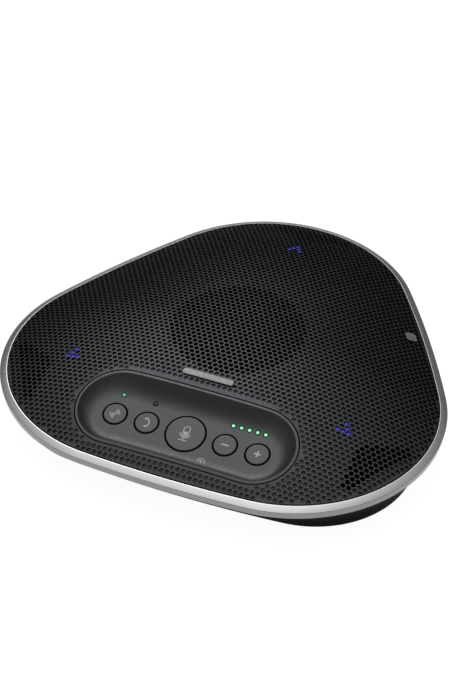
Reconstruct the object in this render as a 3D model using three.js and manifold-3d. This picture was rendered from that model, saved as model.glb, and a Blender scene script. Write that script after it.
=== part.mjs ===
// Conference speakerphone: a low, rounded-triangle table-top unit with a domed
// perforated top, a metal rim, a sunk control panel and a tapered lower case.
//
// Units are millimetres and +Z is up. The unit stands on the plane z = 0, and the
// origin lies under the middle of its bounding box. Inside this file everything is
// drawn about the unit's three-fold axis, and the finished group is shifted once.
// The control panel faces -Y, and one corner of the triangle points to +Y.

import * as THREE from 'three';
import { mergeVertices } from 'three/addons/utils/BufferGeometryUtils.js';
import Module from 'manifold-3d';

const wasm = await Module();
wasm.setup();

// ---------------------------------------------------------------- driving dimensions

const BODY_WIDTH = 231;
const BODY_HEIGHT = 44;
const CORNER_RADIUS = 77.8;
const SIDE_DISTANCE = 100.9; // from the axis to the middle of a side
const GAP = 0.3; // clearance between pieces that touch

const RIM_HEIGHT = 22.8; // height of the rim's outer crease above the table
const RIM_FACE = 4.0; // width of the sloping upper face
const RIM_RISE = 1.7;
const RIM_SKIRT = 4.0; // height of the lower face
const DOME_POWER = 2.25; // 2 is a paraboloid; more is flatter on top and steeper outside
const GRILLE_WALL = 1.6;

const FOOTPRINT = { corner: 60.5, cornerRadius: 52.5, side: 85 };
const CASE_BOTTOM = 1;
const CASE_WALL = 2.2;
const CASE_FLOOR = 4; // height of the inside of the floor

const PANEL_HALF_LENGTH = 36.5; // straight half length of the panel's stadium outline
const PANEL_RADIUS = 20.8;
const PANEL_Y = -68;
const PANEL_GROOVE = 0.5; // clearance between the panel and the grille
const PANEL_LIP = 1.4;
const PANEL_FLANK = 10; // width of the curved wall of the dish
const PANEL_WALL = 2;
const DISH_TILT = THREE.MathUtils.degToRad(16.2);
const DISH_Y = -68.1; // the middle button's centre on the floor of the dish
const DISH_Z = RIM_HEIGHT + 5.1;

const INNER_BUTTON_X = 20.7;
const OUTER_BUTTON_X = 37.55;
const BIG_BUTTON_HOLE = 10.4;
const SMALL_BUTTON_HOLE = 6.4;
const BUTTON_GAP = 0.8;
const BUTTON_TRAVEL = 0.8;
const LED_ROW = 11.55; // from the button line up the slope to the lamps
const LED_RADIUS = 0.95;
const LEVEL_LEDS = 5;

const STATUS_LIGHT_RADIUS = 83.4; // from the axis to a blue status light
const MIC_RADIUS = 105;
const FOOT_POSITION = 80;
const FOOT_RADIUS = 9;
const FOOT_TOP = 1.8;
const SCREW_POSITION = 62;
const SCREW_HEAD = 2.6;
const SCREW_SHANK = 1.3;
const SCREW_SEAT = 4.6; // top of the counterbore under each case screw's head
const SCREW_TIP = 15;
const CORNERS = { rear: 90, left: 210, right: 330 };

// Values that follow from the dimensions above.
const CORNER_DISTANCE = (BODY_WIDTH / 2 - CORNER_RADIUS) / Math.cos(Math.PI / 6);
const RIM = { corner: CORNER_DISTANCE, cornerRadius: CORNER_RADIUS, side: SIDE_DISTANCE };
const TIP_DISTANCE = CORNER_DISTANCE + CORNER_RADIUS;
const DOME_BASE = RIM_HEIGHT + RIM_RISE;
const DOME_RISE = BODY_HEIGHT - DOME_BASE;

// ---------------------------------------------------------------- materials

const material = (color, roughness, metalness = 0) =>
  new THREE.MeshStandardMaterial({ color, roughness, metalness });

const BLACK_PLASTIC = material(0x1a1a1c, 0.55);
const GRILLE_BLACK = material(0x1d1e20, 0.45, 0.2);
const PANEL_GREY = material(0x38393b, 0.5);
const BUTTON_GREY = material(0x46474a, 0.5);
const RIM_SILVER = material(0xb4b6b8, 0.3, 1);
const PLATE_GREY = material(0x9a9c9e, 0.4, 0.5);
const GREEN_LENS = material(0x6fe0a0, 0.2);
const DARK_LENS = material(0x202022, 0.2);
const BLUE_LENS = material(0x2a35ff, 0.2);
const BLACK_CLOTH = material(0x101011, 0.95);
const BLACK_RUBBER = material(0x151515, 0.9);
const CONE_PAPER = material(0x222224, 0.85);
const STEEL = material(0x8d9094, 0.4, 1);
const COPPER = material(0xb87333, 0.35, 1);
const BOARD_GREEN = material(0x1f5a34, 0.6);

// ---------------------------------------------------------------- shape helpers

const LOOP_POINTS = 60;

// Distance from the axis to a rounded triangle's edge, at an angle in radians.
// The triangle has three corner arcs joined by three long, slightly bowed side arcs.
function triangleRadius(angle, { corner, cornerRadius, side }, inset = 0) {
  const third = (2 * Math.PI) / 3;
  const turned = angle - Math.PI / 2;
  const fromCorner = Math.abs(turned - third * Math.round(turned / third));
  const lean = corner / 2 - side;
  const sideRadius =
    (cornerRadius ** 2 - 0.75 * corner ** 2 - lean ** 2) / (2 * (lean + cornerRadius));
  const sideCentre = new THREE.Vector2(Math.cos(third / 2), Math.sin(third / 2));
  sideCentre.multiplyScalar(side - sideRadius);
  const cornerCentre = new THREE.Vector2(corner, 0);
  const join = cornerCentre.clone().sub(sideCentre).setLength(sideRadius - inset).add(sideCentre);
  const onCorner = fromCorner < Math.atan2(join.y, join.x);
  const centre = onCorner ? cornerCentre : sideCentre;
  const radius = (onCorner ? cornerRadius : sideRadius) - inset;
  const along = centre.x * Math.cos(fromCorner) + centre.y * Math.sin(fromCorner);
  return along + Math.sqrt(along ** 2 - centre.lengthSq() + radius ** 2);
}

// A closed ring of points whose distance from the axis and height depend on the angle.
function ring(radiusAt, heightAt) {
  return Array.from({ length: LOOP_POINTS }, (_, i) => {
    const angle = Math.PI / 2 + (2 * Math.PI * i) / LOOP_POINTS;
    const radius = radiusAt(angle);
    const x = radius * Math.cos(angle);
    const y = radius * Math.sin(angle);
    return new THREE.Vector3(x, y, heightAt(x, y));
  });
}

const rimRing = (inset, height) =>
  ring((angle) => triangleRadius(angle, RIM, inset), () => height);

// Skins a list of equal rings. With two end points the ends are closed by fans;
// without them the last ring joins the first, which makes a closed hoop.
function loft(rings, startPoint, endPoint) {
  const count = rings[0].length;
  const positions = rings.flat().flatMap((p) => [p.x, p.y, p.z]);
  const index = [];
  const bands = startPoint ? rings.length - 1 : rings.length;
  for (let band = 0; band < bands; band += 1) {
    const low = band * count;
    const high = ((band + 1) % rings.length) * count;
    for (let i = 0; i < count; i += 1) {
      const next = (i + 1) % count;
      index.push(low + i, low + next, high + next, low + i, high + next, high + i);
    }
  }
  if (startPoint) {
    const start = rings.length * count;
    const end = start + 1;
    const last = start - count;
    positions.push(...startPoint, ...endPoint);
    for (let i = 0; i < count; i += 1) {
      const next = (i + 1) % count;
      index.push(start, next, i, end, last + i, last + next);
    }
  }
  const geometry = new THREE.BufferGeometry();
  geometry.setAttribute('position', new THREE.Float32BufferAttribute(positions, 3));
  geometry.setIndex(index);
  return geometry;
}

// A solid of revolution about Z from [radius, height] pairs that run from the axis
// back to the axis, or round a closed section when closed is true.
function turned(profile, { segments = 24, closed = false } = {}) {
  const points = profile.map(([radius, height]) => new THREE.Vector2(radius, height));
  if (closed) {
    points.push(points[0].clone());
  }
  return new THREE.LatheGeometry(points, segments).rotateX(Math.PI / 2);
}

function cylinder(radius, low, high, [x, y] = [0, 0], segments = 24) {
  return new THREE.CylinderGeometry(radius, radius, high - low, segments)
    .rotateX(Math.PI / 2)
    .translate(x, y, (low + high) / 2);
}

function box([x0, x1], [y0, y1], [z0, z1]) {
  return new THREE.BoxGeometry(x1 - x0, y1 - y0, z1 - z0)
    .translate((x0 + x1) / 2, (y0 + y1) / 2, (z0 + z1) / 2);
}

function extruded(shape, low, high, curveSegments = 10) {
  return new THREE.ExtrudeGeometry(shape, { depth: high - low, bevelEnabled: false, curveSegments })
    .translate(0, 0, low);
}

// A rectangle with rounded corners; the corners are half circles when radius is half the height.
function roundedRectangle(length, height, radius) {
  const x = length / 2 - radius;
  const y = height / 2 - radius;
  const shape = new THREE.Shape();
  shape.absarc(x, y, radius, 0, Math.PI / 2);
  shape.absarc(-x, y, radius, Math.PI / 2, Math.PI);
  shape.absarc(-x, -y, radius, Math.PI, 1.5 * Math.PI);
  shape.absarc(x, -y, radius, 1.5 * Math.PI, 2 * Math.PI);
  return shape;
}

// ---------------------------------------------------------------- joining and cutting

function toSolid(geometry) {
  const bare = geometry.clone();
  bare.deleteAttribute('normal');
  bare.deleteAttribute('uv');
  const merged = mergeVertices(bare, 1e-4);
  const corners = merged.index.array;
  const kept = [];
  for (let i = 0; i < corners.length; i += 3) {
    const [a, b, c] = corners.slice(i, i + 3);
    if (a !== b && b !== c && c !== a) {
      kept.push(a, b, c);
    }
  }
  return new wasm.Manifold(new wasm.Mesh({
    numProp: 3,
    vertProperties: merged.getAttribute('position').array,
    triVerts: new Uint32Array(kept),
  }));
}

function toGeometry(solid) {
  const { vertProperties, triVerts } = solid.getMesh();
  const geometry = new THREE.BufferGeometry();
  geometry.setAttribute('position', new THREE.BufferAttribute(vertProperties, 3));
  geometry.setIndex(new THREE.BufferAttribute(triVerts, 1));
  return geometry;
}

const combine = (first, others, operation) =>
  toGeometry(others.reduce((solid, other) => solid[operation](toSolid(other)), toSolid(first)));

const join = (first, ...others) => combine(first, others, 'add');
const cut = (first, ...others) => combine(first, others, 'subtract');
const common = (first, ...others) => combine(first, others, 'intersect');

// ---------------------------------------------------------------- places on the unit

function atCorner(distance, angle) {
  const radians = THREE.MathUtils.degToRad(angle);
  return [distance * Math.cos(radians), distance * Math.sin(radians)];
}

function domeHeight(x, y) {
  const edge = triangleRadius(Math.atan2(y, x), RIM, RIM_FACE);
  return DOME_BASE + DOME_RISE * (1 - (Math.hypot(x, y) / edge) ** DOME_POWER);
}

function domeNormal(x, y) {
  const step = 0.5;
  const slopeX = (domeHeight(x + step, y) - domeHeight(x - step, y)) / (2 * step);
  const slopeY = (domeHeight(x, y + step) - domeHeight(x, y - step)) / (2 * step);
  return new THREE.Vector3(-slopeX, -slopeY, 1).normalize();
}

// Moves a flat geometry drawn about the origin so that it lies along the dome.
function onDome(geometry, x, y, lift, spin = 0) {
  const normal = domeNormal(x, y);
  const lay = new THREE.Quaternion().setFromUnitVectors(new THREE.Vector3(0, 0, 1), normal);
  const place = new THREE.Vector3(x, y, domeHeight(x, y)).addScaledVector(normal, lift);
  return geometry.rotateZ(spin).applyQuaternion(lay).translate(place.x, place.y, place.z);
}

// The dish frame: x along the button line, y up its slope, z straight out of its floor.
const DISH_FRAME = new THREE.Matrix4()
  .makeRotationX(DISH_TILT)
  .setPosition(0, DISH_Y, DISH_Z);

const inDish = (geometry) => geometry.applyMatrix4(DISH_FRAME);
const dishFloorHeight = (y) => DISH_Z + Math.tan(DISH_TILT) * (y - DISH_Y);

// ---------------------------------------------------------------- housing

// The lower case tapers from the rim down to a smaller, sharper triangle.
// Each row is a height and how far it has widened from the footprint to the rim.
const CASE_TOP_INSET = 2.8;
const CASE_TOP = RIM_HEIGHT - 0.9;
const CASE_ROWS = [
  { z: CASE_BOTTOM, widened: 0, inset: 2 },
  { z: CASE_BOTTOM + 0.6, widened: 0, inset: 0.7 },
  { z: CASE_BOTTOM + 2, widened: 0, inset: 0 },
  { z: 10.8, widened: 0.33, inset: 0 },
  { z: 14.8, widened: 0.68, inset: 0 },
  { z: RIM_HEIGHT - RIM_SKIRT, widened: 1, inset: 0 },
  { z: CASE_TOP, widened: 1, inset: 0 },
];
const BAY = { halfWidth: 24, back: 92, low: 5.9, high: 16.4, wall: 2 };
const PORT_GAP = 0.35;
const PORTS = {
  usb: { x: -14, width: 9, depth: 11, low: 9.3, height: 3.4 },
  audio: { x: 9.5, width: 7, depth: 11, low: 9.3, height: 5, hole: 1.8 },
  dc: { x: 18.5, width: 8, depth: 11, low: 9.3, height: 6, hole: 2.4 },
};

function caseRing({ z, widened, inset }, wall = 0) {
  const radiusAt = (angle) => THREE.MathUtils.lerp(
    triangleRadius(angle, FOOTPRINT, inset),
    triangleRadius(angle, RIM, CASE_TOP_INSET),
    widened,
  ) - wall;
  return ring(radiusAt, () => z);
}

function portOpening({ x, width, low, height }) {
  return box(
    [x - width / 2 - PORT_GAP, x + width / 2 + PORT_GAP],
    [BAY.back - BAY.wall - 1, BAY.back + 1],
    [low - PORT_GAP, low + height + PORT_GAP],
  );
}

const CASE_BOSS_TOP = 8;
const LIGHT_POST_TOP = 18;
const MIC_POST_TOP = RIM_HEIGHT - RIM_SKIRT;
const BOARD_STANDOFFS = [[-26, 44], [26, 44], [-26, 74], [26, 74]];
const BOARD_LOW = 7.4;
const BOARD_HIGH = 9;

function lowerCase() {
  const outer = CASE_ROWS.map((row) => caseRing(row));
  const inner = CASE_ROWS.slice(4).reverse().map((row) => caseRing(row, CASE_WALL));
  const floor = caseRing({ z: CASE_FLOOR, widened: 0, inset: 0 }, CASE_WALL);
  const tub = loft([...outer, ...inner, floor], [0, 0, CASE_BOTTOM], [0, 0, CASE_FLOOR]);
  const envelope = loft(outer, [0, 0, CASE_BOTTOM], [0, 0, CASE_TOP]);

  const sunk = CASE_FLOOR - 1;
  const { halfWidth, back, low, high, wall } = BAY;
  const bayBlock = box([-halfWidth - wall, halfWidth + wall], [back - wall, TIP_DISTANCE], [sunk, high + wall]);
  const bayRoom = box([-halfWidth, halfWidth], [back, TIP_DISTANCE + 1], [low, high]);
  const added = [common(bayBlock, envelope)];
  const removed = [bayRoom, ...Object.values(PORTS).map(portOpening)];
  for (const angle of Object.values(CORNERS)) {
    const screw = atCorner(SCREW_POSITION, angle);
    added.push(cylinder(4.8, sunk, CASE_BOSS_TOP, screw, 16));
    added.push(cylinder(3, sunk, LIGHT_POST_TOP, atCorner(STATUS_LIGHT_RADIUS, angle), 12));
    removed.push(cylinder(SCREW_SHANK + GAP, 0, CASE_BOSS_TOP + 1, screw, 12));
    removed.push(cylinder(SCREW_HEAD + 0.6, 0, SCREW_SEAT, screw, 16));
    removed.push(cylinder(FOOT_RADIUS + 0.4, 0, FOOT_TOP + GAP, atCorner(FOOT_POSITION, angle)));
  }
  for (const angle of [CORNERS.left, CORNERS.right]) {
    added.push(common(cylinder(5, sunk, MIC_POST_TOP, atCorner(MIC_RADIUS, angle), 16), envelope));
  }
  const rearMicPost = cylinder(5, high + 1, MIC_POST_TOP, atCorner(MIC_RADIUS, CORNERS.rear), 16);
  added.push(common(rearMicPost, envelope));
  for (const place of BOARD_STANDOFFS) {
    added.push(cylinder(2.5, sunk, BOARD_LOW - GAP, place, 8));
  }
  return cut(join(tub, ...added), ...removed);
}

function rimTrim() {
  const section = [
    [0.6, -RIM_SKIRT],
    [0, 0],
    [RIM_FACE, RIM_RISE],
    [RIM_FACE, 0.5],
    [2.4, -0.6],
    [2.4, -RIM_SKIRT],
  ];
  return loft(section.map(([inset, height]) => rimRing(inset, RIM_HEIGHT + height)));
}

const GRILLE_INSET = RIM_FACE + GAP;
const GRILLE_STEPS = [0.3, 0.5, 0.68, 0.84, 1];

function topGrille() {
  const domeRing = (fraction, drop) => ring(
    (angle) => fraction * triangleRadius(angle, RIM, GRILLE_INSET),
    (x, y) => domeHeight(x, y) - drop,
  );
  const underside = GRILLE_STEPS.map((fraction) => domeRing(fraction, GRILLE_WALL));
  const top = GRILLE_STEPS.toReversed().map((fraction) => domeRing(fraction, 0));
  const shell = loft(
    [...underside, ...top],
    [0, 0, BODY_HEIGHT - GRILLE_WALL],
    [0, 0, BODY_HEIGHT],
  );
  const radius = PANEL_RADIUS + PANEL_GROOVE;
  const outline = roundedRectangle(2 * (PANEL_HALF_LENGTH + radius), 2 * radius, radius);
  return cut(shell, extruded(outline, 0, BODY_HEIGHT).translate(0, PANEL_Y, 0));
}

const FRAME_LOW = 31;
const FRAME_HIGH = 33;

function innerFrame() {
  const disc = cylinder(46, FRAME_LOW, FRAME_HIGH, [0, 0], 32);
  const pieces = [];
  const holes = [cylinder(36.4, 0, BODY_HEIGHT, [0, 0], 32)];
  for (const angle of Object.values(CORNERS)) {
    const foot = atCorner(SCREW_POSITION, angle);
    const arm = box([40, SCREW_POSITION], [-4, 4], [FRAME_LOW, FRAME_HIGH]);
    pieces.push(arm.rotateZ(THREE.MathUtils.degToRad(angle)));
    pieces.push(cylinder(4.2, CASE_BOSS_TOP + GAP, FRAME_HIGH, foot, 16));
    holes.push(cylinder(SCREW_SHANK + GAP, 0, SCREW_TIP + 0.6, foot, 12));
  }
  for (const place of SPEAKER_SCREWS) {
    holes.push(cylinder(SPEAKER_SCREW_SHANK + GAP, 0, BODY_HEIGHT, place, 12));
  }
  return cut(join(disc, ...pieces), ...holes);
}

// ---------------------------------------------------------------- control panel

const STADIUM_ARC = 12;
const STADIUM_STRAIGHT = 4;

// A stadium outline about the panel's middle, inset from the panel's edge.
function stadium(inset) {
  const radius = PANEL_RADIUS - inset;
  const points = [];
  for (const end of [1, -1]) {
    for (let i = 0; i <= STADIUM_ARC; i += 1) {
      const angle = Math.PI * (i / STADIUM_ARC - 0.5);
      points.push([
        end * (PANEL_HALF_LENGTH + radius * Math.cos(angle)),
        PANEL_Y + end * radius * Math.sin(angle),
      ]);
    }
    for (let i = 1; i < STADIUM_STRAIGHT; i += 1) {
      const x = end * PANEL_HALF_LENGTH * (1 - (2 * i) / STADIUM_STRAIGHT);
      points.push([x, PANEL_Y + end * radius]);
    }
  }
  return points;
}

const FLANK_STEPS = [0.14, 0.42, 1];
const FLANK_POWER = 2.6;

function controlPanel() {
  const lip = stadium(PANEL_LIP);
  const lipRing = (inset, drop) =>
    stadium(inset).map(([x, y]) => new THREE.Vector3(x, y, domeHeight(x, y) - drop));
  const dishRing = (step, drop) => stadium(PANEL_LIP + PANEL_FLANK * step).map(([x, y], i) => {
    const sunk = 1 - (1 - step) ** FLANK_POWER;
    const height = THREE.MathUtils.lerp(domeHeight(...lip[i]), dishFloorHeight(y), sunk);
    return new THREE.Vector3(x, y, height - drop);
  });
  const underside = FLANK_STEPS.toReversed().map((step) => dishRing(step, PANEL_WALL));
  const top = FLANK_STEPS.map((step) => dishRing(step, 0));
  const floor = dishFloorHeight(PANEL_Y);
  const body = loft(
    [...underside, lipRing(PANEL_LIP, PANEL_WALL), lipRing(0, PANEL_WALL), lipRing(0, 0),
      lipRing(PANEL_LIP, 0), ...top],
    [0, PANEL_Y, floor - PANEL_WALL],
    [0, PANEL_Y, floor],
  );
  const holes = BUTTONS.map(({ x, hole }) => inDish(cylinder(hole, -6, 6, [x, 0], 20)));
  for (const { x } of LEDS) {
    holes.push(inDish(cylinder(LED_RADIUS + GAP, -6, 6, [x, LED_ROW], 8)));
  }
  return cut(body, ...holes);
}

const BUTTONS = [
  { name: 'pairing_button', x: -OUTER_BUTTON_X, hole: SMALL_BUTTON_HOLE },
  { name: 'call_button', x: -INNER_BUTTON_X, hole: SMALL_BUTTON_HOLE },
  { name: 'mute_button', x: 0, hole: BIG_BUTTON_HOLE },
  { name: 'volume_down_button', x: INNER_BUTTON_X, hole: SMALL_BUTTON_HOLE },
  { name: 'volume_up_button', x: OUTER_BUTTON_X, hole: SMALL_BUTTON_HOLE },
];

const LEDS = [
  { name: 'pairing_led_lens', x: -OUTER_BUTTON_X, lens: GREEN_LENS },
  { name: 'call_led_lens', x: -INNER_BUTTON_X, lens: DARK_LENS },
  ...Array.from({ length: LEVEL_LEDS }, (_, i) => ({
    name: `level_led_lens_${i + 1}`,
    x: THREE.MathUtils.lerp(INNER_BUTTON_X, OUTER_BUTTON_X, i / (LEVEL_LEDS - 1)),
    lens: GREEN_LENS,
  })),
];

const CAP_TOP = 0.3;
const FLANGE_TOP = -PANEL_WALL - GAP;
const FLANGE_LOW = FLANGE_TOP - 0.8;
const STEM_RADIUS = 1.2;
const STEM_LOW = -6.2;

// A cap with a flange below the panel that keeps it in, and a stem that works the switch.
function button({ x, hole }) {
  const cap = hole - BUTTON_GAP;
  const profile = [
    [0, STEM_LOW],
    [STEM_RADIUS, STEM_LOW],
    [STEM_RADIUS, FLANGE_LOW],
    [hole + 0.8, FLANGE_LOW],
    [hole + 0.8, FLANGE_TOP],
    [cap, FLANGE_TOP],
    [cap, CAP_TOP],
    [0, CAP_TOP],
  ];
  return inDish(turned(profile, { segments: 20 }).translate(x, 0, 0));
}

const SWITCH_LOW = -10;
const SWITCH_HIGH = -5.5;
const SWITCH_HALF_WIDTH = 3.1;

function tactSwitch({ x }) {
  const wellDepth = STEM_LOW - BUTTON_TRAVEL - 0.5;
  const body = box(
    [x - SWITCH_HALF_WIDTH, x + SWITCH_HALF_WIDTH],
    [-SWITCH_HALF_WIDTH, SWITCH_HALF_WIDTH],
    [SWITCH_LOW, SWITCH_HIGH],
  );
  return inDish(cut(body, cylinder(STEM_RADIUS + 0.4, wellDepth, 0, [x, 0], 16)));
}

const ledLens = ({ x }) =>
  inDish(cylinder(LED_RADIUS, SWITCH_LOW + 0.2, 0.1, [x, LED_ROW], 8));

function controlBoard() {
  const high = SWITCH_LOW - GAP;
  const board = extruded(roundedRectangle(92, 26, 3), high - 1.2, high, 4);
  return inDish(board.translate(0, 1, 0));
}

// ---------------------------------------------------------------- loudspeaker

// Heights in this section start at the top of the inner frame, which the speaker hangs from.
const inSpeaker = (geometry) => geometry.translate(0, 0, FRAME_HIGH);
const ringSection = (profile, segments = 24) =>
  inSpeaker(turned(profile, { segments, closed: true }));

const SPEAKER_SCREW_SHANK = 1;
const SPEAKER_SCREWS = [45, 135, 225, 315].map((angle) => atCorner(38.8, angle));
const FLANGE_HIGH = 2;

function speakerBasket() {
  const body = ringSection([
    [10.5, -13.2],
    [20.5, -13.2],
    [30.5, GAP],
    [41.5, GAP],
    [41.5, FLANGE_HIGH],
    [28.5, FLANGE_HIGH],
    [28.5, 0.9],
    [19.5, -12],
    [10.5, -12],
  ]);
  const hole = (place) => cylinder(SPEAKER_SCREW_SHANK + GAP, 0, BODY_HEIGHT, place, 12);
  return cut(body, ...SPEAKER_SCREWS.map(hole));
}

// A cup magnet with the ring-shaped slot that the voice coil moves in.
function speakerMagnet() {
  return inSpeaker(turned([
    [0, -25.8],
    [19, -25.8],
    [19, -13.5],
    [9.8, -13.5],
    [9.8, -22.5],
    [7.4, -22.5],
    [7.4, -13.5],
    [0, -13.5],
  ]));
}

const speakerCone = () => ringSection([[9.2, -6], [22, 1.9], [22, 2.7], [9.2, -5.2]]);

const dustCap = () => inSpeaker(turned([
  [0, -2.1],
  [4.5, -2.8],
  [8.8, -4.9],
  [8.8, -4.3],
  [4.5, -2.2],
  [0, -1.5],
]));

const voiceCoil = () => ringSection([[8.2, -18.5], [8.9, -18.5], [8.9, -5.6], [8.2, -5.6]], 20);

// A half-round rubber roll from the cone's edge to a flat lip on the basket.
function speakerSurround() {
  const middle = 25.4;
  const low = FLANGE_HIGH + GAP;
  const steps = 3;
  const roll = (radius, from, to) => Array.from({ length: steps + 1 }, (_, i) => {
    const angle = THREE.MathUtils.lerp(from, to, i / steps);
    return [middle + radius * Math.cos(angle), low + radius * 0.8 * Math.sin(angle)];
  });
  const outside = roll(3.1, 0.2, Math.PI);
  const inside = roll(2.5, Math.PI, 0);
  return ringSection([[32, low], [32, low + 0.6], ...outside, ...inside]);
}

// A corrugated disc that centres the voice coil.
function speakerSpider() {
  const waves = 4;
  const side = (lift) => Array.from({ length: waves + 1 }, (_, i) => [
    THREE.MathUtils.lerp(9.3, 20, i / waves),
    -10 + lift + (i % 2 ? 0.8 : 0),
  ]);
  return ringSection([...side(0), ...side(0.5).reverse()], 20);
}

const speakerGasket = () => ringSection([[29, 3.2], [33, 3.2], [33, 6.1], [29, 6.1]]);

const speakerCloth = () => inSpeaker(cylinder(35, 6.4, 6.8, [0, 0], 32));

const speakerChamber = () => inSpeaker(turned([
  [0, -28.6],
  [36, -28.6],
  [36, 0],
  [33.8, 0],
  [33.8, -26.1],
  [0, -26.1],
]));

function speakerScrew([x, y]) {
  const head = FLANGE_HIGH + GAP;
  const profile = [
    [0, -7],
    [SPEAKER_SCREW_SHANK, -7],
    [SPEAKER_SCREW_SHANK, head],
    [2.2, head],
    [2.2, head + 1.2],
    [0, head + 1.4],
  ];
  return inSpeaker(turned(profile, { segments: 12 })).translate(x, y, 0);
}

// ---------------------------------------------------------------- microphones and lights

const MIC_SEAT = MIC_POST_TOP + 1.7; // where a capsule sits in its rubber boot
const MIC_TOP = RIM_HEIGHT + 1.9;

function micBoot(angle) {
  const low = MIC_POST_TOP + GAP;
  const [x, y] = atCorner(MIC_RADIUS, angle);
  const profile = [[0, low], [5.8, low], [5.8, MIC_TOP], [4.6, MIC_TOP], [4.6, MIC_SEAT], [0, MIC_SEAT]];
  return turned(profile, { segments: 16 }).translate(x, y, 0);
}

const micCapsule = (angle) =>
  cylinder(4.2, MIC_SEAT + GAP, MIC_TOP - 0.4, atCorner(MIC_RADIUS, angle));

const STATUS_LIGHT_TOP = RIM_HEIGHT + 8.4;

// A clear post, wider at the top, that carries a status light up to the grille.
function statusLight(angle) {
  const low = LIGHT_POST_TOP + GAP;
  const [x, y] = atCorner(STATUS_LIGHT_RADIUS, angle);
  return turned([[0, low], [2.6, low], [4, STATUS_LIGHT_TOP], [0, STATUS_LIGHT_TOP]], { segments: 16 }).translate(x, y, 0);
}

// ---------------------------------------------------------------- electronics and ports

function mainBoard() {
  const board = box([-30, 30], [40, BAY.back - BAY.wall - 0.5], [BOARD_LOW, BOARD_HIGH]);
  const postHole = cylinder(5.6, 0, 20, [0, SCREW_POSITION], 16);
  const lightHole = cylinder(4, 0, 20, [0, STATUS_LIGHT_RADIUS], 12);
  return cut(board, postHole, lightHole);
}

const portBody = ({ x, width, depth, low, height }) =>
  box([x - width / 2, x + width / 2], [BAY.back - depth, BAY.back], [low, low + height]);

function usbPort() {
  const { x, low, height } = PORTS.usb;
  const slot = extruded(roundedRectangle(8, 2.4, 1.1), 0, 8, 5)
    .rotateX(Math.PI / 2)
    .translate(x, BAY.back + 1, low + height / 2);
  return cut(portBody(PORTS.usb), slot);
}

function roundPort(port) {
  const { x, low, height, hole } = port;
  const socket = cylinder(hole, -9, 1, [0, 0], 16)
    .rotateX(-Math.PI / 2)
    .translate(x, BAY.back, low + height / 2);
  return cut(portBody(port), socket);
}

function antennaCoil() {
  const middle = 78;
  const [x, y] = atCorner(middle, 30);
  const coil = turned([[5, 0], [9, 0], [9, 0.5], [5, 0.5]], { segments: 24, closed: true });
  return onDome(coil, x, y, -GRILLE_WALL - 1.2);
}

const shieldCan = () => box([-27, -9], [48, 66], [BOARD_HIGH + GAP, 12]);

// ---------------------------------------------------------------- feet, screws and trim

function foot(angle) {
  const [x, y] = atCorner(FOOT_POSITION, angle);
  const profile = [[0, 0], [FOOT_RADIUS - 0.5, 0], [FOOT_RADIUS, 0.5], [FOOT_RADIUS, FOOT_TOP], [0, FOOT_TOP]];
  return turned(profile).translate(x, y, 0);
}

function caseScrew(angle) {
  const [x, y] = atCorner(SCREW_POSITION, angle);
  const profile = [
    [0, SCREW_SEAT - GAP - 1.8],
    [SCREW_HEAD, SCREW_SEAT - GAP - 1.6],
    [SCREW_HEAD, SCREW_SEAT - GAP],
    [SCREW_SHANK, SCREW_SEAT - GAP],
    [SCREW_SHANK, SCREW_TIP - 0.4],
    [0, SCREW_TIP],
  ];
  return turned(profile, { segments: 12 }).translate(x, y, 0);
}

// A blank bar stands where a maker would put a name, and a blank tile over the antenna.
const namePlate = () =>
  onDome(extruded(roundedRectangle(27, 3.6, 1.2), 0, 0.5, 4), 0, -39.5, GAP);

function contactTile() {
  const angle = 30;
  const tile = extruded(roundedRectangle(6, 6, 1.2), 0, 0.4, 4);
  return onDome(tile, ...atCorner(90, angle), GAP, THREE.MathUtils.degToRad(angle));
}

// ---------------------------------------------------------------- assembly

const unit = new THREE.Group();

function add(name, geometry, surface) {
  const mesh = new THREE.Mesh(geometry, surface);
  mesh.name = name;
  unit.add(mesh);
}

add('lower_case', lowerCase(), BLACK_PLASTIC);
add('rim_trim', rimTrim(), RIM_SILVER);
add('top_grille', topGrille(), GRILLE_BLACK);
add('inner_frame', innerFrame(), BLACK_PLASTIC);
add('control_panel', controlPanel(), PANEL_GREY);
add('control_board', controlBoard(), BOARD_GREEN);
add('name_plate', namePlate(), PLATE_GREY);
add('contact_tile', contactTile(), PLATE_GREY);

for (const spec of BUTTONS) {
  add(spec.name, button(spec), BUTTON_GREY);
  add(spec.name.replace('button', 'switch'), tactSwitch(spec), STEEL);
}
for (const spec of LEDS) {
  add(spec.name, ledLens(spec), spec.lens);
}

add('speaker_cloth', speakerCloth(), BLACK_CLOTH);
add('speaker_gasket', speakerGasket(), BLACK_RUBBER);
add('speaker_basket', speakerBasket(), STEEL);
add('speaker_magnet', speakerMagnet(), STEEL);
add('speaker_cone', speakerCone(), CONE_PAPER);
add('dust_cap', dustCap(), CONE_PAPER);
add('voice_coil', voiceCoil(), COPPER);
add('speaker_surround', speakerSurround(), BLACK_RUBBER);
add('speaker_spider', speakerSpider(), BLACK_CLOTH);
add('speaker_chamber', speakerChamber(), BLACK_PLASTIC);
SPEAKER_SCREWS.forEach((place, i) => add(`speaker_screw_${i + 1}`, speakerScrew(place), STEEL));

add('main_board', mainBoard(), BOARD_GREEN);
add('shield_can', shieldCan(), STEEL);
add('usb_port', usbPort(), STEEL);
add('audio_jack', roundPort(PORTS.audio), BLACK_PLASTIC);
add('dc_jack', roundPort(PORTS.dc), BLACK_PLASTIC);
add('antenna_coil', antennaCoil(), COPPER);

for (const [corner, angle] of Object.entries(CORNERS)) {
  add(`mic_boot_${corner}`, micBoot(angle), BLACK_RUBBER);
  add(`mic_capsule_${corner}`, micCapsule(angle), STEEL);
  add(`status_light_${corner}`, statusLight(angle), BLUE_LENS);
  add(`foot_${corner}`, foot(angle), BLACK_RUBBER);
  add(`case_screw_${corner}`, caseScrew(angle), STEEL);
}

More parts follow.
